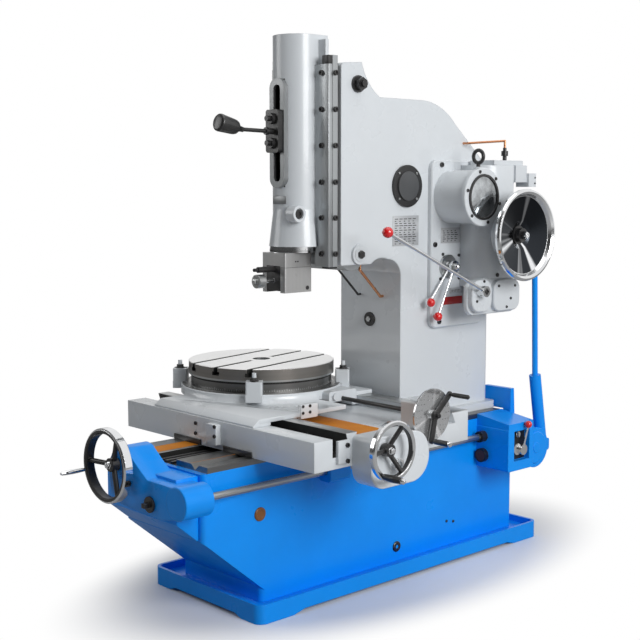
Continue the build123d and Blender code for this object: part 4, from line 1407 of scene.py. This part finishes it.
@dataclass
class Base(SubAssembly):
    """The trough, the bed, its front bracket and the feed rod.

    Attributes:
        bars: where each dark bar in the bed's valley starts and ends along X.
        plugs: the y, z and radius of the brown and the black plug.
        side: the face they stand on, a little inside it.
    """

    bars: tuple[tuple[float, float], ...] = ((-56.0, -44.0), (-22.0, -10.0), (14.0, 26.0))
    plugs: tuple[tuple[float, float, float], ...] = ((-778.0, 399.0, 26.0), (-16.0, 111.0, 22.0))
    side: float = 249.5

    def build(self) -> None:
        """Dress the base and add its bars and plugs."""
        self.shop.dress("bed_enamel", "bed")
        self.shop.dress("blue_enamel", "drip_trough", "rod_bracket")
        self.shop.dress("planed_steel", "feed_rod")
        self._bracket()
        self.shop.blocks("bed_valley_bars", [(mm(a, -1022, 595.5), mm(b, 672, 604)) for a, b in self.bars],
                         "black_oxide", "frame")
        (y_a, z_a, r_a), (y_b, z_b, r_b) = self.plugs
        brown = [(0, 0), (0, r_a + 1), (4, r_a + 1), (7, r_a - 3), (7, r_a - 9), (5, r_a - 11), (5, 0)]
        black = [(0, 0), (0, r_b + 1), (4, r_b + 1), (7, r_b - 3), (7, 9), (4, 7), (4, 0)]
        self.shop.turned("bed_brown_plug", brown, mm(self.side, y_a, z_a), "brown_plug", "frame")
        self.shop.turned("bed_black_plug", black, mm(self.side, y_b, z_b), "black_oxide", "frame")
        self.shop.screws("bed_side_screws", [(250, 308, 159), (250, 353, 150)], 6, 4, "frame")

    def _bracket(self) -> None:
        """Shape the front bracket and the squared shaft end."""
        bm = bmesh.new()
        outline = rounded([(-125, 455, 12), (-144, 600, 30), (-98, 668, 26), (-28, 676, 30), (36, 628, 40),
                           (112, 578, 30), (290, 578, 40), (350, 522, 50), (320, 468, 30), (200, 446, 20)])
        Mesher.prism(bm, outline, Axis.Y, -1198, -1075, 4.0)
        for x, z, radius in ((-60, 612, 64), (290, 522, 62)):
            Mesher.turned(bm, [(-124, 0), (-124, radius), (-2, radius), (1, radius - 3), (1, 0)],
                          mm(x, -1198, z), Axis.FRONT, 64)
        Mesher.turned(bm, ring(15, 46, 13.0, 2.0), mm(-60, -1199, 612), Axis.FRONT, 64)
        Mesher.prism(bm, [(-1051, 345), (-1051, 590), (-1150, 590), (-1150, 421), (-1058.3, 345)], Axis.X,
                     -225, 225, 3.0)
        self.shop.form("bracket_casting", bm, "blue_enamel", "frame", "front_bracket")
        bm = bmesh.new()
        Mesher.turned(bm, [(0, 0), (0, 30), (8, 30), (10, 28), (10, 0)], mm(130, -1197.5, 491), Axis.FRONT)
        Mesher.block(bm, mm(121, -1232, 482), mm(139, -1205, 500), 0.0015)
        self.shop.form("squared_shaft", bm, "black_oxide", "frame")


@dataclass
class FrontWheel(SubAssembly):
    """The front handwheel with its dial.

    Attributes:
        centre: the middle of the rim.
        handle: how far the handle stands from the axis.
    """

    centre: Point = FRONT_WHEEL_AT
    handle: float = 130.0

    def build(self) -> None:
        """Shape the wheel and add its nut."""
        x, y, z = self.centre
        bm = bmesh.new()
        rim = [(-20, 125), (-20, 136), (-15, 141), (15, 141), (20, 136), (20, 125), (15, 121), (-15, 121)]
        hub = [(-37, 0), (-37, 26), (-7, 26), (-5, 24), (-5, 0)]
        shaft = [(-118, 0), (-118, 16), (-36, 16), (-36, 0)]
        for outline in (rim, hub, shaft):
            Mesher.turned(bm, outline, mm(x, y, z), Axis.FRONT, 96)
        for angle in (math.radians(60 + 120 * k) for k in range(3)):
            away = Vector((math.cos(angle), 0.0, math.sin(angle)))
            start, end = Vector((x, y + 21, z)) + away * 20, Vector((x, y, z)) + away * 127
            Mesher.rod(bm, tuple(start), tuple(end), 10)
        angle = math.radians(195)
        at = (x + self.handle * math.cos(angle), y - 15, z + self.handle * math.sin(angle))
        grip = [(0, 0), (0, 4.5), (8, 4.5), (10, 7.2), (36, 8.4), (62, 9), (90, 8.4), (106, 7.2), (112, 3.6),
                (112, 0)]
        Mesher.turned(bm, grip, mm(*at), Axis.FRONT)
        self.shop.form("front_wheel_casting", bm, "front_wheel", "front_wheel", "front_handwheel")
        self.shop.turned("front_wheel_nut", NUT, mm(x, y + 5.5, z), "chrome_plate", "front_wheel",
                         Axis.FRONT, steps=6)


@dataclass
class Saddle(SubAssembly):
    """The saddle, its gearbox, its dividing plate and its wheel.

    Attributes:
        wheel: the middle of the cross handwheel.
        face: the gearbox's outer face.
        plate: the middle of the dividing plate.
    """

    wheel: Point = CROSS_WHEEL_AT
    face: float = 690.0
    plate: Point = DIVIDING_PLATE_AT

    def build(self) -> None:
        """Dress the saddle and add what stands on it."""
        self._castings()
        self._crank()
        self.shop.dress("grey_enamel", "cross_feed_gearbox")
        self.shop.dress("hole_plate", "index_plate")
        self.shop.dress("black_oxide", "index_shaft")
        self.shop.dress("cross_wheel", "cross_handwheel")
        wipers = [(mm(a, -812, 620.7), mm(b, -806.5, 642)) for a, b in ((-250, -75), (70, 240))]
        self.shop.blocks("saddle_wipers", wipers, "black_oxide", "saddle")
        self.shop.screws("saddle_plate_screws", [(602, -656, 706), (602, -655, 647)], 9, 7, "saddle")
        self.shop.screws("gib_screws", [(47, -833, 715), (46, -833, 677), (-108, -807, 704),
                                        (-109, -807, 663)], 8, 5, "saddle", Axis.FRONT)
        x, y, z = self.wheel
        self.shop.turned("cross_wheel_nut", NUT, mm(x - 10.0, y, z), "chrome_plate", "cross_wheel", steps=6)
        self.shop.turned("bushing_ring", ring(14.2, 25.6, 19.6, 2.0), mm(self.face - 0.5, -489, 622),
                         "chrome_plate", "saddle")
        self.shop.turned("index_grip_end", [(0, 0), (0, 9), (3, 11), (7, 11), (11, 8), (11, 0)],
                         mm(711.0, -218.8, 660.2), "chrome_plate", "index_crank")

    def _castings(self) -> None:
        """Shape the saddle, its gib block and its end plate."""
        bm = bmesh.new()
        outline = [(-807, 620.4), (-807, 733), (-716, 733), (-716, 664), (-636, 664), (-636, 706),
                   (-648, 745), (-592, 745), (-606, 706), (-606, 700), (-39, 700), (-39, 706), (-57, 745),
                   (42, 745), (42, 620.4)]
        Mesher.prism(bm, outline, Axis.X, -588, 588, 1.2)
        Mesher.block(bm, mm(256, -474, 596), mm(318, -364, 640), 0.002)
        self.shop.form("saddle_casting", bm, "saddle_enamel", "saddle", "saddle")
        bm = bmesh.new()
        Mesher.block(bm, mm(-10, -833, 640), mm(52, -806.5, 722), 0.003)
        Mesher.block(bm, mm(587.5, -700, 640), mm(602, -640, 725), 0.002)
        self.shop.form("gib_block", bm, "grey_enamel", "saddle", "saddle_fittings")

    def _crank(self) -> None:
        """Shape the two-armed dividing crank."""
        _, y, z = self.plate
        bm = bmesh.new()
        hub = [(594, 0), (594, 9), (618.4, 9), (618.4, 17), (631, 17), (632.4, 15.6), (632.4, 9), (645, 9),
               (646, 8), (646, 0)]
        Mesher.turned(bm, hub, mm(0, y, z), Axis.X)
        for degrees, reach, radius, length in ((42, 110, 9, 95), (258, 100, 11, 84)):
            angle = math.radians(degrees)
            place = Matrix.Translation(mm(0, y, z)) @ Matrix.Rotation(angle, 4, "X")
            arm = rounded([(-12, -11, 10.5), (reach + 12, -11, 10.5), (reach + 12, 11, 10.5),
                           (-12, 11, 10.5)])
            Mesher.prism(bm, arm, Axis.X, 618.4, 628.4, 1.0, place)
            grip = [(0, 0), (0, radius - 3), (12, radius - 3), (14, radius - 1), (20, radius),
                    (length - 4, radius), (length, radius - 3), (length, 0)]
            end = mm(627.4, y + reach * math.cos(angle), z + reach * math.sin(angle))
            Mesher.turned(bm, grip, end, Axis.X)
        self.shop.form("dividing_crank", bm, "black_oxide", "index_crank", "index_crank")


@dataclass
class Table(SubAssembly):
    """The cross slide, its clamps and the slotted round table.

    Attributes:
        centre: the table's axis.
        clamp_reach: how far the clamp nuts stand from it.
    """

    centre: Point = TABLE_AT
    clamp_reach: float = 356.0

    def build(self) -> None:
        """Dress the slide and table and add nuts and scales."""
        x, y, _ = self.centre
        self._slide()
        self.shop.dress("grey_enamel", "table_clamps", "rotary_feed_box")
        self.shop.dress("table_steel", "rotary_table")
        quarters = [Matrix.Rotation(math.radians(45 + 90 * k), 4, "Z") for k in range(4)]
        places = [Matrix.Translation(mm(x, y, 0)) @ turn for turn in quarters]
        reach = self.clamp_reach
        around = [(x + reach * turn[0][0], y + reach * turn[1][0], 855.0) for turn in quarters]
        self.shop.screws("clamp_nuts", around, 15, 16, "cross_slide", Axis.Z, head=Head.HEXAGON, washer=19)
        # Thin near-black strips on the clamps stand in for their slots: painted shade.
        self.shop.blocks("clamp_slots", [(mm(326, -10, 854.6), mm(380, 10, 855.6))], "dark_cavity",
                         "cross_slide", 0.0003, places)
        self.shop.screws("slide_lug_screws", [(246, -551, 786), (246, -514, 785), (246, -551, 760),
                                              (246, -514, 760)], 6, 4, "cross_slide")
        self.shop.turned("table_seat_ring", ring(306, 344, 3.4, 0.8), mm(x, y, 796.6), "housing_steel",
                         "cross_slide", Axis.Z, steps=128)
        etched = self.shop.finishes["etched_plate"]
        seat = self.shop.repeats.scale("seat_scale", mm(x, y, 800.0), Axis.Z, 320 * MM, 240, 10 * MM, etched,
                                       width=0.0009, flat=True)
        self.shop.fit(seat, "cross_slide", "etched_plate")
        scale = self.shop.repeats.scale("table_scale", mm(x, y, 801.0), Axis.Z, 305.2 * MM, 180, 6 * MM,
                                        etched, width=0.0011)
        self.shop.fit(scale, "table", "etched_plate")
        self.shop.turned("table_centre_bush", ring(24, 37.6, 4.0, 1.0), mm(x, y, 867.0), "ground_steel",
                         "table", Axis.Z)

    def _slide(self) -> None:
        """Shape the cross slide: plate and nose, front lip, two gib bars, a lug and the round housing."""
        bm = bmesh.new()
        plan = rounded([(-400, -768, 0), (240, -768, 0), (240, -306, 6), (48, -306, 14), (48, 38, 4),
                        (-400, 38, 4)])
        Mesher.prism(bm, plan, Axis.Z, 745.4, 762, 1.0)
        lip = [(-800, 733.4), (-800, 739.4), (-768, 762), (-768, 745.4), (-712, 745.4), (-712, 733.4)]
        Mesher.prism(bm, lip, Axis.X, -400, 240, 0.8)
        Mesher.prism(bm, [(-57.4, 746), (-40.6, 707), (-79, 707), (-97, 746)], Axis.X, -399, 47, 0.8)
        Mesher.prism(bm, [(-552, 746), (-570, 707), (-604.4, 707), (-591.6, 746)], Axis.X, -399, 218, 0.8)
        Mesher.block(bm, mm(224, -560, 736), mm(246, -470, 792), 0.003)
        housing = [(754, 0), (754, 338), (760, 349), (794, 349), (797, 346), (797, 0)]
        Mesher.turned(bm, housing, mm(*self.centre), Axis.Z, 160)
        casting = self.shop.form("slide_casting", bm, "grey_enamel", "cross_slide", "cross_slide")
        self.shop.bore(casting, (-340, -198, 758), (80, -198, 758), 9.6)


@dataclass
class Column(SubAssembly):
    """The column with its covers, the tilt pin and the oil pipes.

    Attributes:
        side: the column's right face.
        cover: the middle of the round cover.
        cover_screw: how far its screws stand from there.
    """

    side: float = 182.0
    cover: Point = COVER_AT
    cover_screw: float = 76.0

    def build(self) -> None:
        """Dress the column and add its pipes, caps, screws and plate."""
        self.shop.dress("column_enamel", "column")
        self.shop.dress("grey_enamel", "tilt_pin")
        self.shop.dress("black_oxide", "tilt_nut")
        self.shop.dress("cover_black", "column_cover")
        self.shop.dress("copper_tube", "copper_tube")
        for name, node, x, radius, finish in (
                ("bent_pipe_black", "oil_pipe_left", -60, 5, "black_oxide"),
                ("bent_pipe_copper", "oil_pipe_right", 77, 6, "copper_tube")):
            bm = bmesh.new()
            route = [(x, -70, 1342), (x, -70, 1290), (x, 55, 1170), (x, 71, 1170)]
            for start, end in zip(route, route[1:]):
                Mesher.rod(bm, start, end, radius)
            for joint in route[1:3]:
                Mesher.turned(bm, knob(radius * 1.02, radius * 0.3), mm(*joint), Axis.X)
            self.shop.form(name, bm, finish, "frame", node)
        bm = bmesh.new()
        Mesher.turned(bm, [(-1, 0), (-1, 31), (6, 31), (8, 29), (8, 0)], mm(0, 71, 1064), Axis.FRONT)
        self.shop.form("round_cap", bm, "black_oxide", "frame", "front_cap")
        _, y, z = self.cover
        away = self.cover_screw / math.sqrt(2)
        corners = [(192, y + a * away, z + b * away) for a in (-1, 1) for b in (-1, 1)]
        self.shop.screws("cover_screws", corners, 5, 3, "frame", finish="ground_steel")
        self.shop.screws("tilt_pin_head", [(196, -184, 1365)], 17, 12, "frame", head=Head.HEXAGON)
        self.shop.turned("front_cap_plug", [(0, 0), (0, 13), (6, 13), (8, 11), (8, 0)], mm(0, 63.4, 1064),
                         "ground_steel", "frame", Axis.FRONT, steps=6)
        self.shop.plate("column_plate", self.side, (18, 180), (1391, 1519))


@dataclass
class Ram(SubAssembly):
    """The tilting guide, the ram, its clamp and the tool head.

    Attributes:
        levels: the heights of the guide's bolts.
        ring_at: the foot of the graduated ring's scale.
        marks_to: the y beyond which the ring has no marks.
        boss: the y and z of the boss's axis.
        screw: the end of the tool clamp's lower screw.
    """

    levels: tuple[float, ...] = (2091.0, 1948.0, 1805.0, 1660.0, 1517.0, 1372.0)
    ring_at: Point = (0.0, -375.0, 1379.0)
    marks_to: float = -360.5
    boss: tuple[float, float] = (-441.0, 1533.0)
    screw: Point = TOOL_SCREW_AT

    def build(self) -> None:
        """Dress the guide and ram and add bolts, strips and scale."""
        self.shop.dress("guide_steel", "ram_guide")
        self.shop.dress("head_steel", "tool_head")
        self.shop.dress("ram_enamel", "ram")
        self.shop.dress("slot_steel", "slot_plate")
        self.shop.dress("black_oxide", "ram_clamp")
        self.shop.dress("ring_steel", "graduated_ring")
        self._guide()
        marks = self.shop.repeats.scale("ram_ring_scale", mm(*self.ring_at), Axis.Z, 100.2 * MM, 120,
                                        8 * MM, self.shop.finishes["scale_ink"], width=0.0011)
        bm = bmesh.new()
        bm.from_mesh(marks.data)
        bmesh.ops.delete(bm, geom=[v for v in bm.verts if v.co.y > self.marks_to * MM], context="VERTS")
        bm.to_mesh(marks.data)
        bm.free()
        self.shop.fit(marks, "ram", "scale_ink")
        self.shop.screws("tool_head_screw", [(69.5, -366, 1232)], 8.4, 3, "ram")
        self.shop.screws("head_side_screws", [(70, -418, 1341), (70, -430, 1341)], 3, 2, "ram")
        self.shop.turned("head_side_plug", [(60, 0), (60, 8.9), (70.1, 8.9), (70.3, 8.7), (70.3, 0)],
                         mm(0, -420, 1290), "head_steel", "ram")
        self.shop.turned("boss_socket", [(0, 0), (0, 19), (6, 19), (7.5, 17.5), (7.5, 9), (2, 8), (2, 0)],
                         mm(98.5, *self.boss), "black_oxide", "ram", steps=24)
        self.shop.blocks("ram_plate", [(mm(-35, -457.5, 1572), mm(43, -455.4, 1604))], "slot_steel", "ram",
                         0.0004)
        self._boss()
        self._tool_clamp()
        self._lever()
        # A black block in the gap between the tool head and the guide: painted shade.
        self.shop.blocks("ram_underside_shade", [(mm(-98, -338, 1379), mm(98, -290, 1420.5))], "black_oxide", "ram",
                         0.002)

    def _boss(self) -> None:
        """Shape the round boss on the ram's right side."""
        bm = bmesh.new()
        outline = [(60, 0), (60, 34), (106, 34), (108, 32), (108, 23), (107, 22), (99, 22), (99, 0)]
        Mesher.turned(bm, outline, mm(0, *self.boss), Axis.X)
        self.shop.form("round_boss", bm, "grey_enamel", "ram", "ram_boss")

    def _tool_clamp(self) -> None:
        """Shape the strap over the tool's cavity with its two screws."""
        bm = bmesh.new()
        Mesher.block(bm, mm(-41.5, -488, 1222), mm(41.5, -464, 1317.5), 0.001)
        upper = [(442, 0), (442, 12), (571, 12), (573, 10), (573, 7), (591, 7), (592, 6), (592, 0)]
        lower = [(442, 0), (442, 9), (545, 9), (545, 26), (547, 28), (579, 28), (581, 26), (581, 0)]
        Mesher.turned(bm, upper, mm(0, 0, 1310), Axis.FRONT)
        Mesher.turned(bm, lower, mm(0, 0, self.screw[2]), Axis.FRONT)
        Mesher.block(bm, mm(-9, -593, self.screw[2] - 9), mm(9, -580, self.screw[2] + 9), 0.0015)
        self.shop.form("clamp_strap", bm, "clamp_black", "ram", "tool_clamp")

    def _lever(self) -> None:
        """Shape the ram's clamp lever with its bell-shaped knob."""
        bm = bmesh.new()
        Mesher.turned(bm, [(515.4, 0), (515.4, 15), (527, 15), (529.4, 13), (529.4, 0)], mm(0, 0, 1862),
                      Axis.FRONT)
        Mesher.rod(bm, (0, -523.4, 1862), (-5, -644, 1865), 8)
        tilt = math.radians(11.5)
        bell = [(0, 0), (0, 10), (12, 11), (20, 13), (29, 19), (36, 26), (46, 29.5), (60, 31), (90, 33),
                (118, 35), (123, 34), (126, 31), (128, 26), (128, 0)]
        Mesher.turned(bm, bell, mm(-5, -638, 1864), (0.0, -math.cos(tilt), math.sin(tilt)), 48)
        self.shop.form("bell_lever", bm, "black_plastic", "clamp_lever", "clamp_lever")

    def _guide(self) -> None:
        """Add the guide's keeper strips, bolts, seams and wipers, and two black pieces that paint shade: a
        strip in the gap behind the guide and a plate under its lower end.
        """
        bm = bmesh.new()
        Mesher.block(bm, mm(100.4, -353, 1320), mm(182, -331, 2125), 0.001)
        Mesher.block(bm, mm(-148, -353, 1320), mm(-100.4, -331, 2125), 0.001)
        self.shop.form("keeper_strips", bm, "guide_steel", "guide", "keepers")
        self.shop.screws("keeper_bolts", [(x, -353, z) for x in (-132, 143) for z in self.levels], 11, 9,
                         "guide", Axis.FRONT)
        self.shop.screws("guide_side_bolts", [(182, -317, z) for z in self.levels], 11, 9, "guide")
        sides = (-182, 182)
        seams = [(mm(x - 0.3, -332, 1321), mm(x + 0.3, -330.4, 2124)) for x in sides]
        # A black strip in the gap behind the guide: painted shade.
        gap_shade = [(mm(-178, -303.4, 1345), mm(-150, -296, 2130)),
                  (mm(150, -303.4, 1345), mm(178, -296, 2130))]
        # A thin black plate under the guide's lower end: painted shade.
        foot = [(mm(-181, -352, 1313), mm(-142, -304, 1320.2)), (mm(142, -352, 1313), mm(181, -304, 1320.2))]
        wipers = [(mm(-147, -352.5, 2124.6), mm(-142, -331.2, 2159)),
                  (mm(143, -352.5, 2124.6), mm(181, -331.2, 2159))]
        self.shop.blocks("guide_seams", seams, "dark_cavity", "guide", 0.0002)
        self.shop.blocks("guide_gap_shade", gap_shade, "black_oxide", "guide")
        self.shop.blocks("guide_underside_shade", foot, "black_oxide", "guide", 0.001)
        self.shop.blocks("guide_wipers", wipers, "black_oxide", "guide", 0.001)


@dataclass
class Gearbox(SubAssembly):
    """The speed gearbox with its window, covers and levers.

    Attributes:
        plate: the face of the gearbox's plate.
        drum: the y and z of the drum's axis.
        bezel: how far the bezel's screws stand from it.
        dish: the middle of the dish wheel.
    """

    plate: float = 204.0
    drum: tuple[float, float] = (366.0, 1597.0)
    bezel: float = 111.0
    dish: Point = DISH_WHEEL_AT

    def build(self) -> None:
        """Dress the gearbox and add screws, plates and balls."""
        self.shop.dress("grey_enamel", "gearbox_plate", "gearbox_covers", "gearbox_top")
        self._housing()
        self.shop.dress("chrome_plate", "short_lever_low", "short_lever_high", "long_lever")
        self.shop.dress("ground_steel", "hub_flange")
        self.shop.dress("black_oxide", "eyebolt", "oil_cup", "sight_window")
        self.shop.dress("glass_painted_reflections", "sight_glass")
        self._screws()
        balls = {"short_lever_low": (230, 211, 1143, 19.4), "short_lever_high": (246, 241, 1081, 19.4),
                 "long_lever": (402, -240, 1463, 22.4)}
        for body, (bx, by, bz, radius) in balls.items():
            self.shop.turned(f"{body}_ball", knob(radius, 7.0), mm(bx, by, bz), "red_ball", body)
        self.shop.turned("hub_nut", [(0, 0), (0, 15), (4, 15), (9, 12), (13, 7), (15, 0)],
                         mm(263, 345, 1293), "chrome_plate", "frame", steps=32)
        self.shop.turned("long_lever_socket", [(0, 0), (0, 14), (3, 14), (4, 13), (4, 8), (1, 8), (1, 0)],
                         mm(411.9, 367, 1193), "black_oxide", "long_lever", steps=4)
        self.shop.plate("speed_plate", self.plate, (301, 428), (1395, 1462))
        self.shop.plate("lever_plate", self.plate, (363, 447), (1170, 1196))
        self.shop.blocks("red_plate", [(mm(203.5, 323, 1123), mm(205.4, 449, 1157))], "red_plate", "frame",
                         0.0004)

    def _housing(self) -> None:
        """Shape the gearbox: the lying drum, the upright housing and the low one behind its covers."""
        bm = bmesh.new()
        drum = [(204, 0), (204, 115), (368, 115), (370, 117), (370, 123), (372, 125), (385, 125), (388, 122),
                (388, 99), (386, 97), (380, 97), (380, 0)]
        Mesher.turned(bm, drum, mm(0, *self.drum), Axis.X, 96)
        upright = rounded([(204, 430, 0), (360, 430, 100), (360, 620, 20), (204, 620, 0)], 24)
        Mesher.prism(bm, upright, Axis.Z, 1238, 1735, 3.0)
        low = [(316, 1085, 45), (662, 1085, 45), (662, 1238, 45), (316, 1238, 45)]
        Mesher.prism(bm, rounded(low), Axis.X, 322, 345, 5.0)
        Mesher.prism(bm, rounded([(452, 1085, 45), *low[1:3], (452, 1238, 45)]), Axis.X, 275, 323, 1.0)
        foot = rounded([(452, 1095, 40), (600, 1095, 40), (600, 1238, 0), (452, 1238, 0)])
        Mesher.prism(bm, foot, Axis.X, 204, 276)
        Mesher.block(bm, mm(204, 430, 1200), mm(340, 600, 1244), 0.001)
        collar = [(355, 0), (355, 92), (387, 92), (390, 89), (390, 18), (355, 18)]
        Mesher.turned(bm, collar, mm(0, *self.dish[1:]), Axis.X, 72)
        cap = [(1690, 0), (1690, 20), (1724, 20), (1726, 18), (1726, 0)]
        Mesher.turned(bm, cap, mm(335, 391, 0), Axis.Z)
        self.shop.form("gearbox_casting", bm, "grey_enamel", "frame", "speed_gearbox")

    def _screws(self) -> None:
        """Add the gearbox's screws."""
        y, z = self.drum
        sixths = [math.radians(45 + 60 * k) for k in range(6)]
        around = [(388, y + self.bezel * math.cos(a), z + self.bezel * math.sin(a)) for a in sixths]
        self.shop.screws("bezel_screws", around, 7, 5, "frame")
        plate = [(self.plate, y, z) for y, z in ((301, 1736), (262, 1391), (294, 1052))]
        self.shop.screws("gearbox_plate_bolts", plate, 11, 8, "frame")
        hub = [(self.plate, y, z) for y, z in ((315, 1347), (422, 1339), (300, 1240), (425, 1238))]
        self.shop.screws("hub_screws", hub, 7, 5, "frame")
        self.shop.screws("cover_screws_left", [(372, 397, 1233), (372, 350, 1149)], 6, 4, "frame")
        self.shop.screws("cover_screws_right", [(366, 506, 1207), (366, 620, 1203), (366, 563, 1111),
                                                (366, 591, 1148)], 6, 4, "frame")
        self.shop.screws("housing_plug", [(356, 505, 1255)], 9, 6, "frame")
        self.shop.screws("switch_box_screws", [(372, 744, 1681), (372, 744, 1656)], 4, 3, "frame")


@dataclass
class DishWheel(SubAssembly):
    """The polished dish wheel on the gearbox.

    Attributes:
        centre: the wheel's middle.
    """

    centre: Point = DISH_WHEEL_AT

    def build(self) -> None:
        """Dress the wheel and add its hub end."""
        x, y, z = self.centre
        self.shop.dress("dish_wheel", "dish_handwheel")
        self.shop.turned("dish_hub_end", [(0, 0), (0, 14), (7, 14), (10, 11), (10, 6), (8, 4), (8, 0)],
                         mm(x + 5.7, y, z), "chrome_plate", "dish_wheel")


@dataclass
class Rear(SubAssembly):
    """The rear feed gearbox with its clutch and the tall rod.

    Attributes:
        drum: the y and z of the drum's axis.
    """

    drum: tuple[float, float] = (735.0, 455.0)

    def build(self) -> None:
        """Dress the rear and add its cap, bolt and ball."""
        self.shop.dress("rear_enamel", "rear_gearbox")
        self.shop.dress("blue_enamel", "rear_upright", "connecting_rod")
        self.shop.dress("chrome_plate", "clutch_lever", "clutch_drum")
        self.shop.turned("clutch_ball", knob(16.4, 6.0), mm(452, 626, 583), "red_ball", "clutch_lever")
        self.shop.turned("rear_drum_cap", [(0, 0), (0, 74), (3, 74), (6, 70), (6, 24), (9, 22), (9, 0)],
                         mm(411.5, *self.drum), "blue_enamel", "frame", steps=64)
        self.shop.screws("clevis_bolt", [(378, 848, 446)], 13, 10, "frame", head=Head.HEXAGON, washer=17)


@dataclass
class Studio:
    """The floor, the backdrop light, the lamps and the camera.

    Attributes:
        eye: where the camera stands.
        pitch: how many degrees it looks down.
        heading: how many degrees it is turned about Z.
        lens: its focal length in mm.
        bright_side: the way to the bright half of the world.
        dusk: where the dark half ends and the bright half starts, along that way.
        room: the brightness of the dark and of the bright half.
        room_share: how much of it matt and glossy faces take.
        floor_reach: how far the floor goes.
        fade_by: how fast the floor fades along each axis.
        fade: where the floor starts and ends to fade.
        floor_light: how light the floor is to the machine and to the camera.
        lamps: each lamp's name, place, aim, size and power.
    """

    eye: Point = (3.65107, -3.64024, 1.64802)
    pitch: float = 6.46
    heading: float = 46.95
    lens: float = 67.014
    bright_side: Point = (0.30, 0.80, 0.50)
    dusk: tuple[float, float] = (-0.35, 0.45)
    room: tuple[float, float] = (0.07, 1.0)
    room_share: tuple[float, float] = (0.38, 0.95)
    floor_reach: float = 14.0
    fade_by: Point = (1.9, 1.0, 1.0)
    fade: tuple[float, float] = (1.0, 1.55)
    floor_light: tuple[float, float] = (0.40, 0.86)
    lamps: list[tuple[str, Point, Point, float, float]] = field(default_factory=lambda: [
        ("key_lamp", (6.5, -0.6, 3.4), (0.0, 0.0, 1.0), 3.2, 310.0),
        ("top_lamp", (0.5, -0.2, 6.0), (0.0, 0.0, 0.5), 4.0, 60.0),
        ("front_lamp", (-5.0, -4.6, 3.4), (0.0, 0.0, 1.3), 3.2, 100.0),
    ])

    def build(self) -> None:
        """Make the floor, world, lamps and camera."""
        self._floor()
        self._world()
        for name, at, aim, size, power in self.lamps:
            lamp = bpy.data.lights.new(name, "AREA")
            lamp.shape, lamp.size, lamp.energy = "SQUARE", size, power
            obj = bpy.data.objects.new(name, lamp)
            obj.location = at
            obj.rotation_euler = (Vector(aim) - Vector(at)).to_track_quat("-Z", "Y").to_euler()
            bpy.context.scene.collection.objects.link(obj)
        camera = bpy.data.cameras.new("camera")
        camera.lens, camera.sensor_width, camera.sensor_fit = self.lens, 36.0, "HORIZONTAL"
        camera.clip_end = 100.0
        obj = bpy.data.objects.new("camera", camera)
        obj.location = self.eye
        obj.rotation_euler = (math.radians(90.0 - self.pitch), 0.0, math.radians(self.heading))
        bpy.context.scene.collection.objects.link(obj)
        bpy.context.scene.camera = obj
        bpy.context.scene.view_settings.view_transform = "Standard"

    def _floor(self) -> None:
        """Lay a pale floor that fades to white away from the machine."""
        bm = bmesh.new()
        reach, sunk = self.floor_reach, 0.0005
        for x, y in ((-1, -1), (1, -1), (1, 1), (-1, 1)):
            bm.verts.new((x * reach, y * reach, -sunk))
        bm.verts.ensure_lookup_table()
        bm.faces.new(bm.verts)
        mesh = bpy.data.meshes.new("floor")
        bm.to_mesh(mesh)
        bm.free()
        material = bpy.data.materials.new("pale_floor")
        material.use_nodes = True
        material.node_tree.nodes.clear()
        g = Graph(material.node_tree)
        away = g.vector("LENGTH", g.vector("MULTIPLY", g.here, self.fade_by))
        fade = g.ramp(away, *self.fade, interpolation_type="SMOOTHSTEP")
        eye = g.add("ShaderNodeLightPath").outputs["Is Camera Ray"]
        tone = g.mix(eye, *((light, light, light) for light in self.floor_light))
        matt = g.add("ShaderNodeBsdfPrincipled", {"Base Color": tone, "Roughness": 0.7})
        glow = g.add("ShaderNodeEmission", {"Color": (1.0, 1.0, 1.0, 1.0), "Strength": 1.0})
        seen = g.math("MULTIPLY", eye, fade)
        mixed = g.add("ShaderNodeMixShader", {0: seen, 1: matt.outputs[0], 2: glow.outputs[0]})
        g.add("ShaderNodeOutputMaterial", {"Surface": mixed.outputs[0]})
        mesh.materials.append(material)
        floor = bpy.data.objects.new("floor", mesh)
        bpy.context.scene.collection.objects.link(floor)

    def _world(self) -> None:
        """Light the scene softly and show white behind it."""
        world = bpy.data.worlds.new("white_room")
        bpy.context.scene.world = world
        world.use_nodes = True
        world.node_tree.nodes.clear()
        g = Graph(world.node_tree)
        way = g.add("ShaderNodeTexCoord").outputs["Generated"]
        lean = g.vector("DOT_PRODUCT", way, self.bright_side)
        room = g.ramp(lean, *self.dusk, *self.room, interpolation_type="SMOOTHSTEP")
        path = g.add("ShaderNodeLightPath")
        lit = g.math("MULTIPLY", room, g.ramp(path.outputs["Is Glossy Ray"], 0.0, 1.0, *self.room_share))
        strength = g.math("MAXIMUM", lit, path.outputs["Is Camera Ray"])
        back = g.add("ShaderNodeBackground", {"Color": (1.0, 1.0, 1.0, 1.0), "Strength": strength})
        g.add("ShaderNodeOutputWorld", {"Surface": back.outputs[0]})


def main() -> None:
    """Build the looks, sub-assembly by sub-assembly."""
    logging.basicConfig(level=logging.INFO, format="%(message)s")
    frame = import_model()
    shop = Workshop(frame, Palette(Effects()), Repeats())
    for kind in (Base, FrontWheel, Saddle, Table, Column, Ram, Gearbox, DishWheel, Rear):
        kind(shop).build()
        LOG.info("%s done, %d pieces so far", kind.__name__, shop.count)
    Studio().build()


if __name__ == "__main__":
    main()
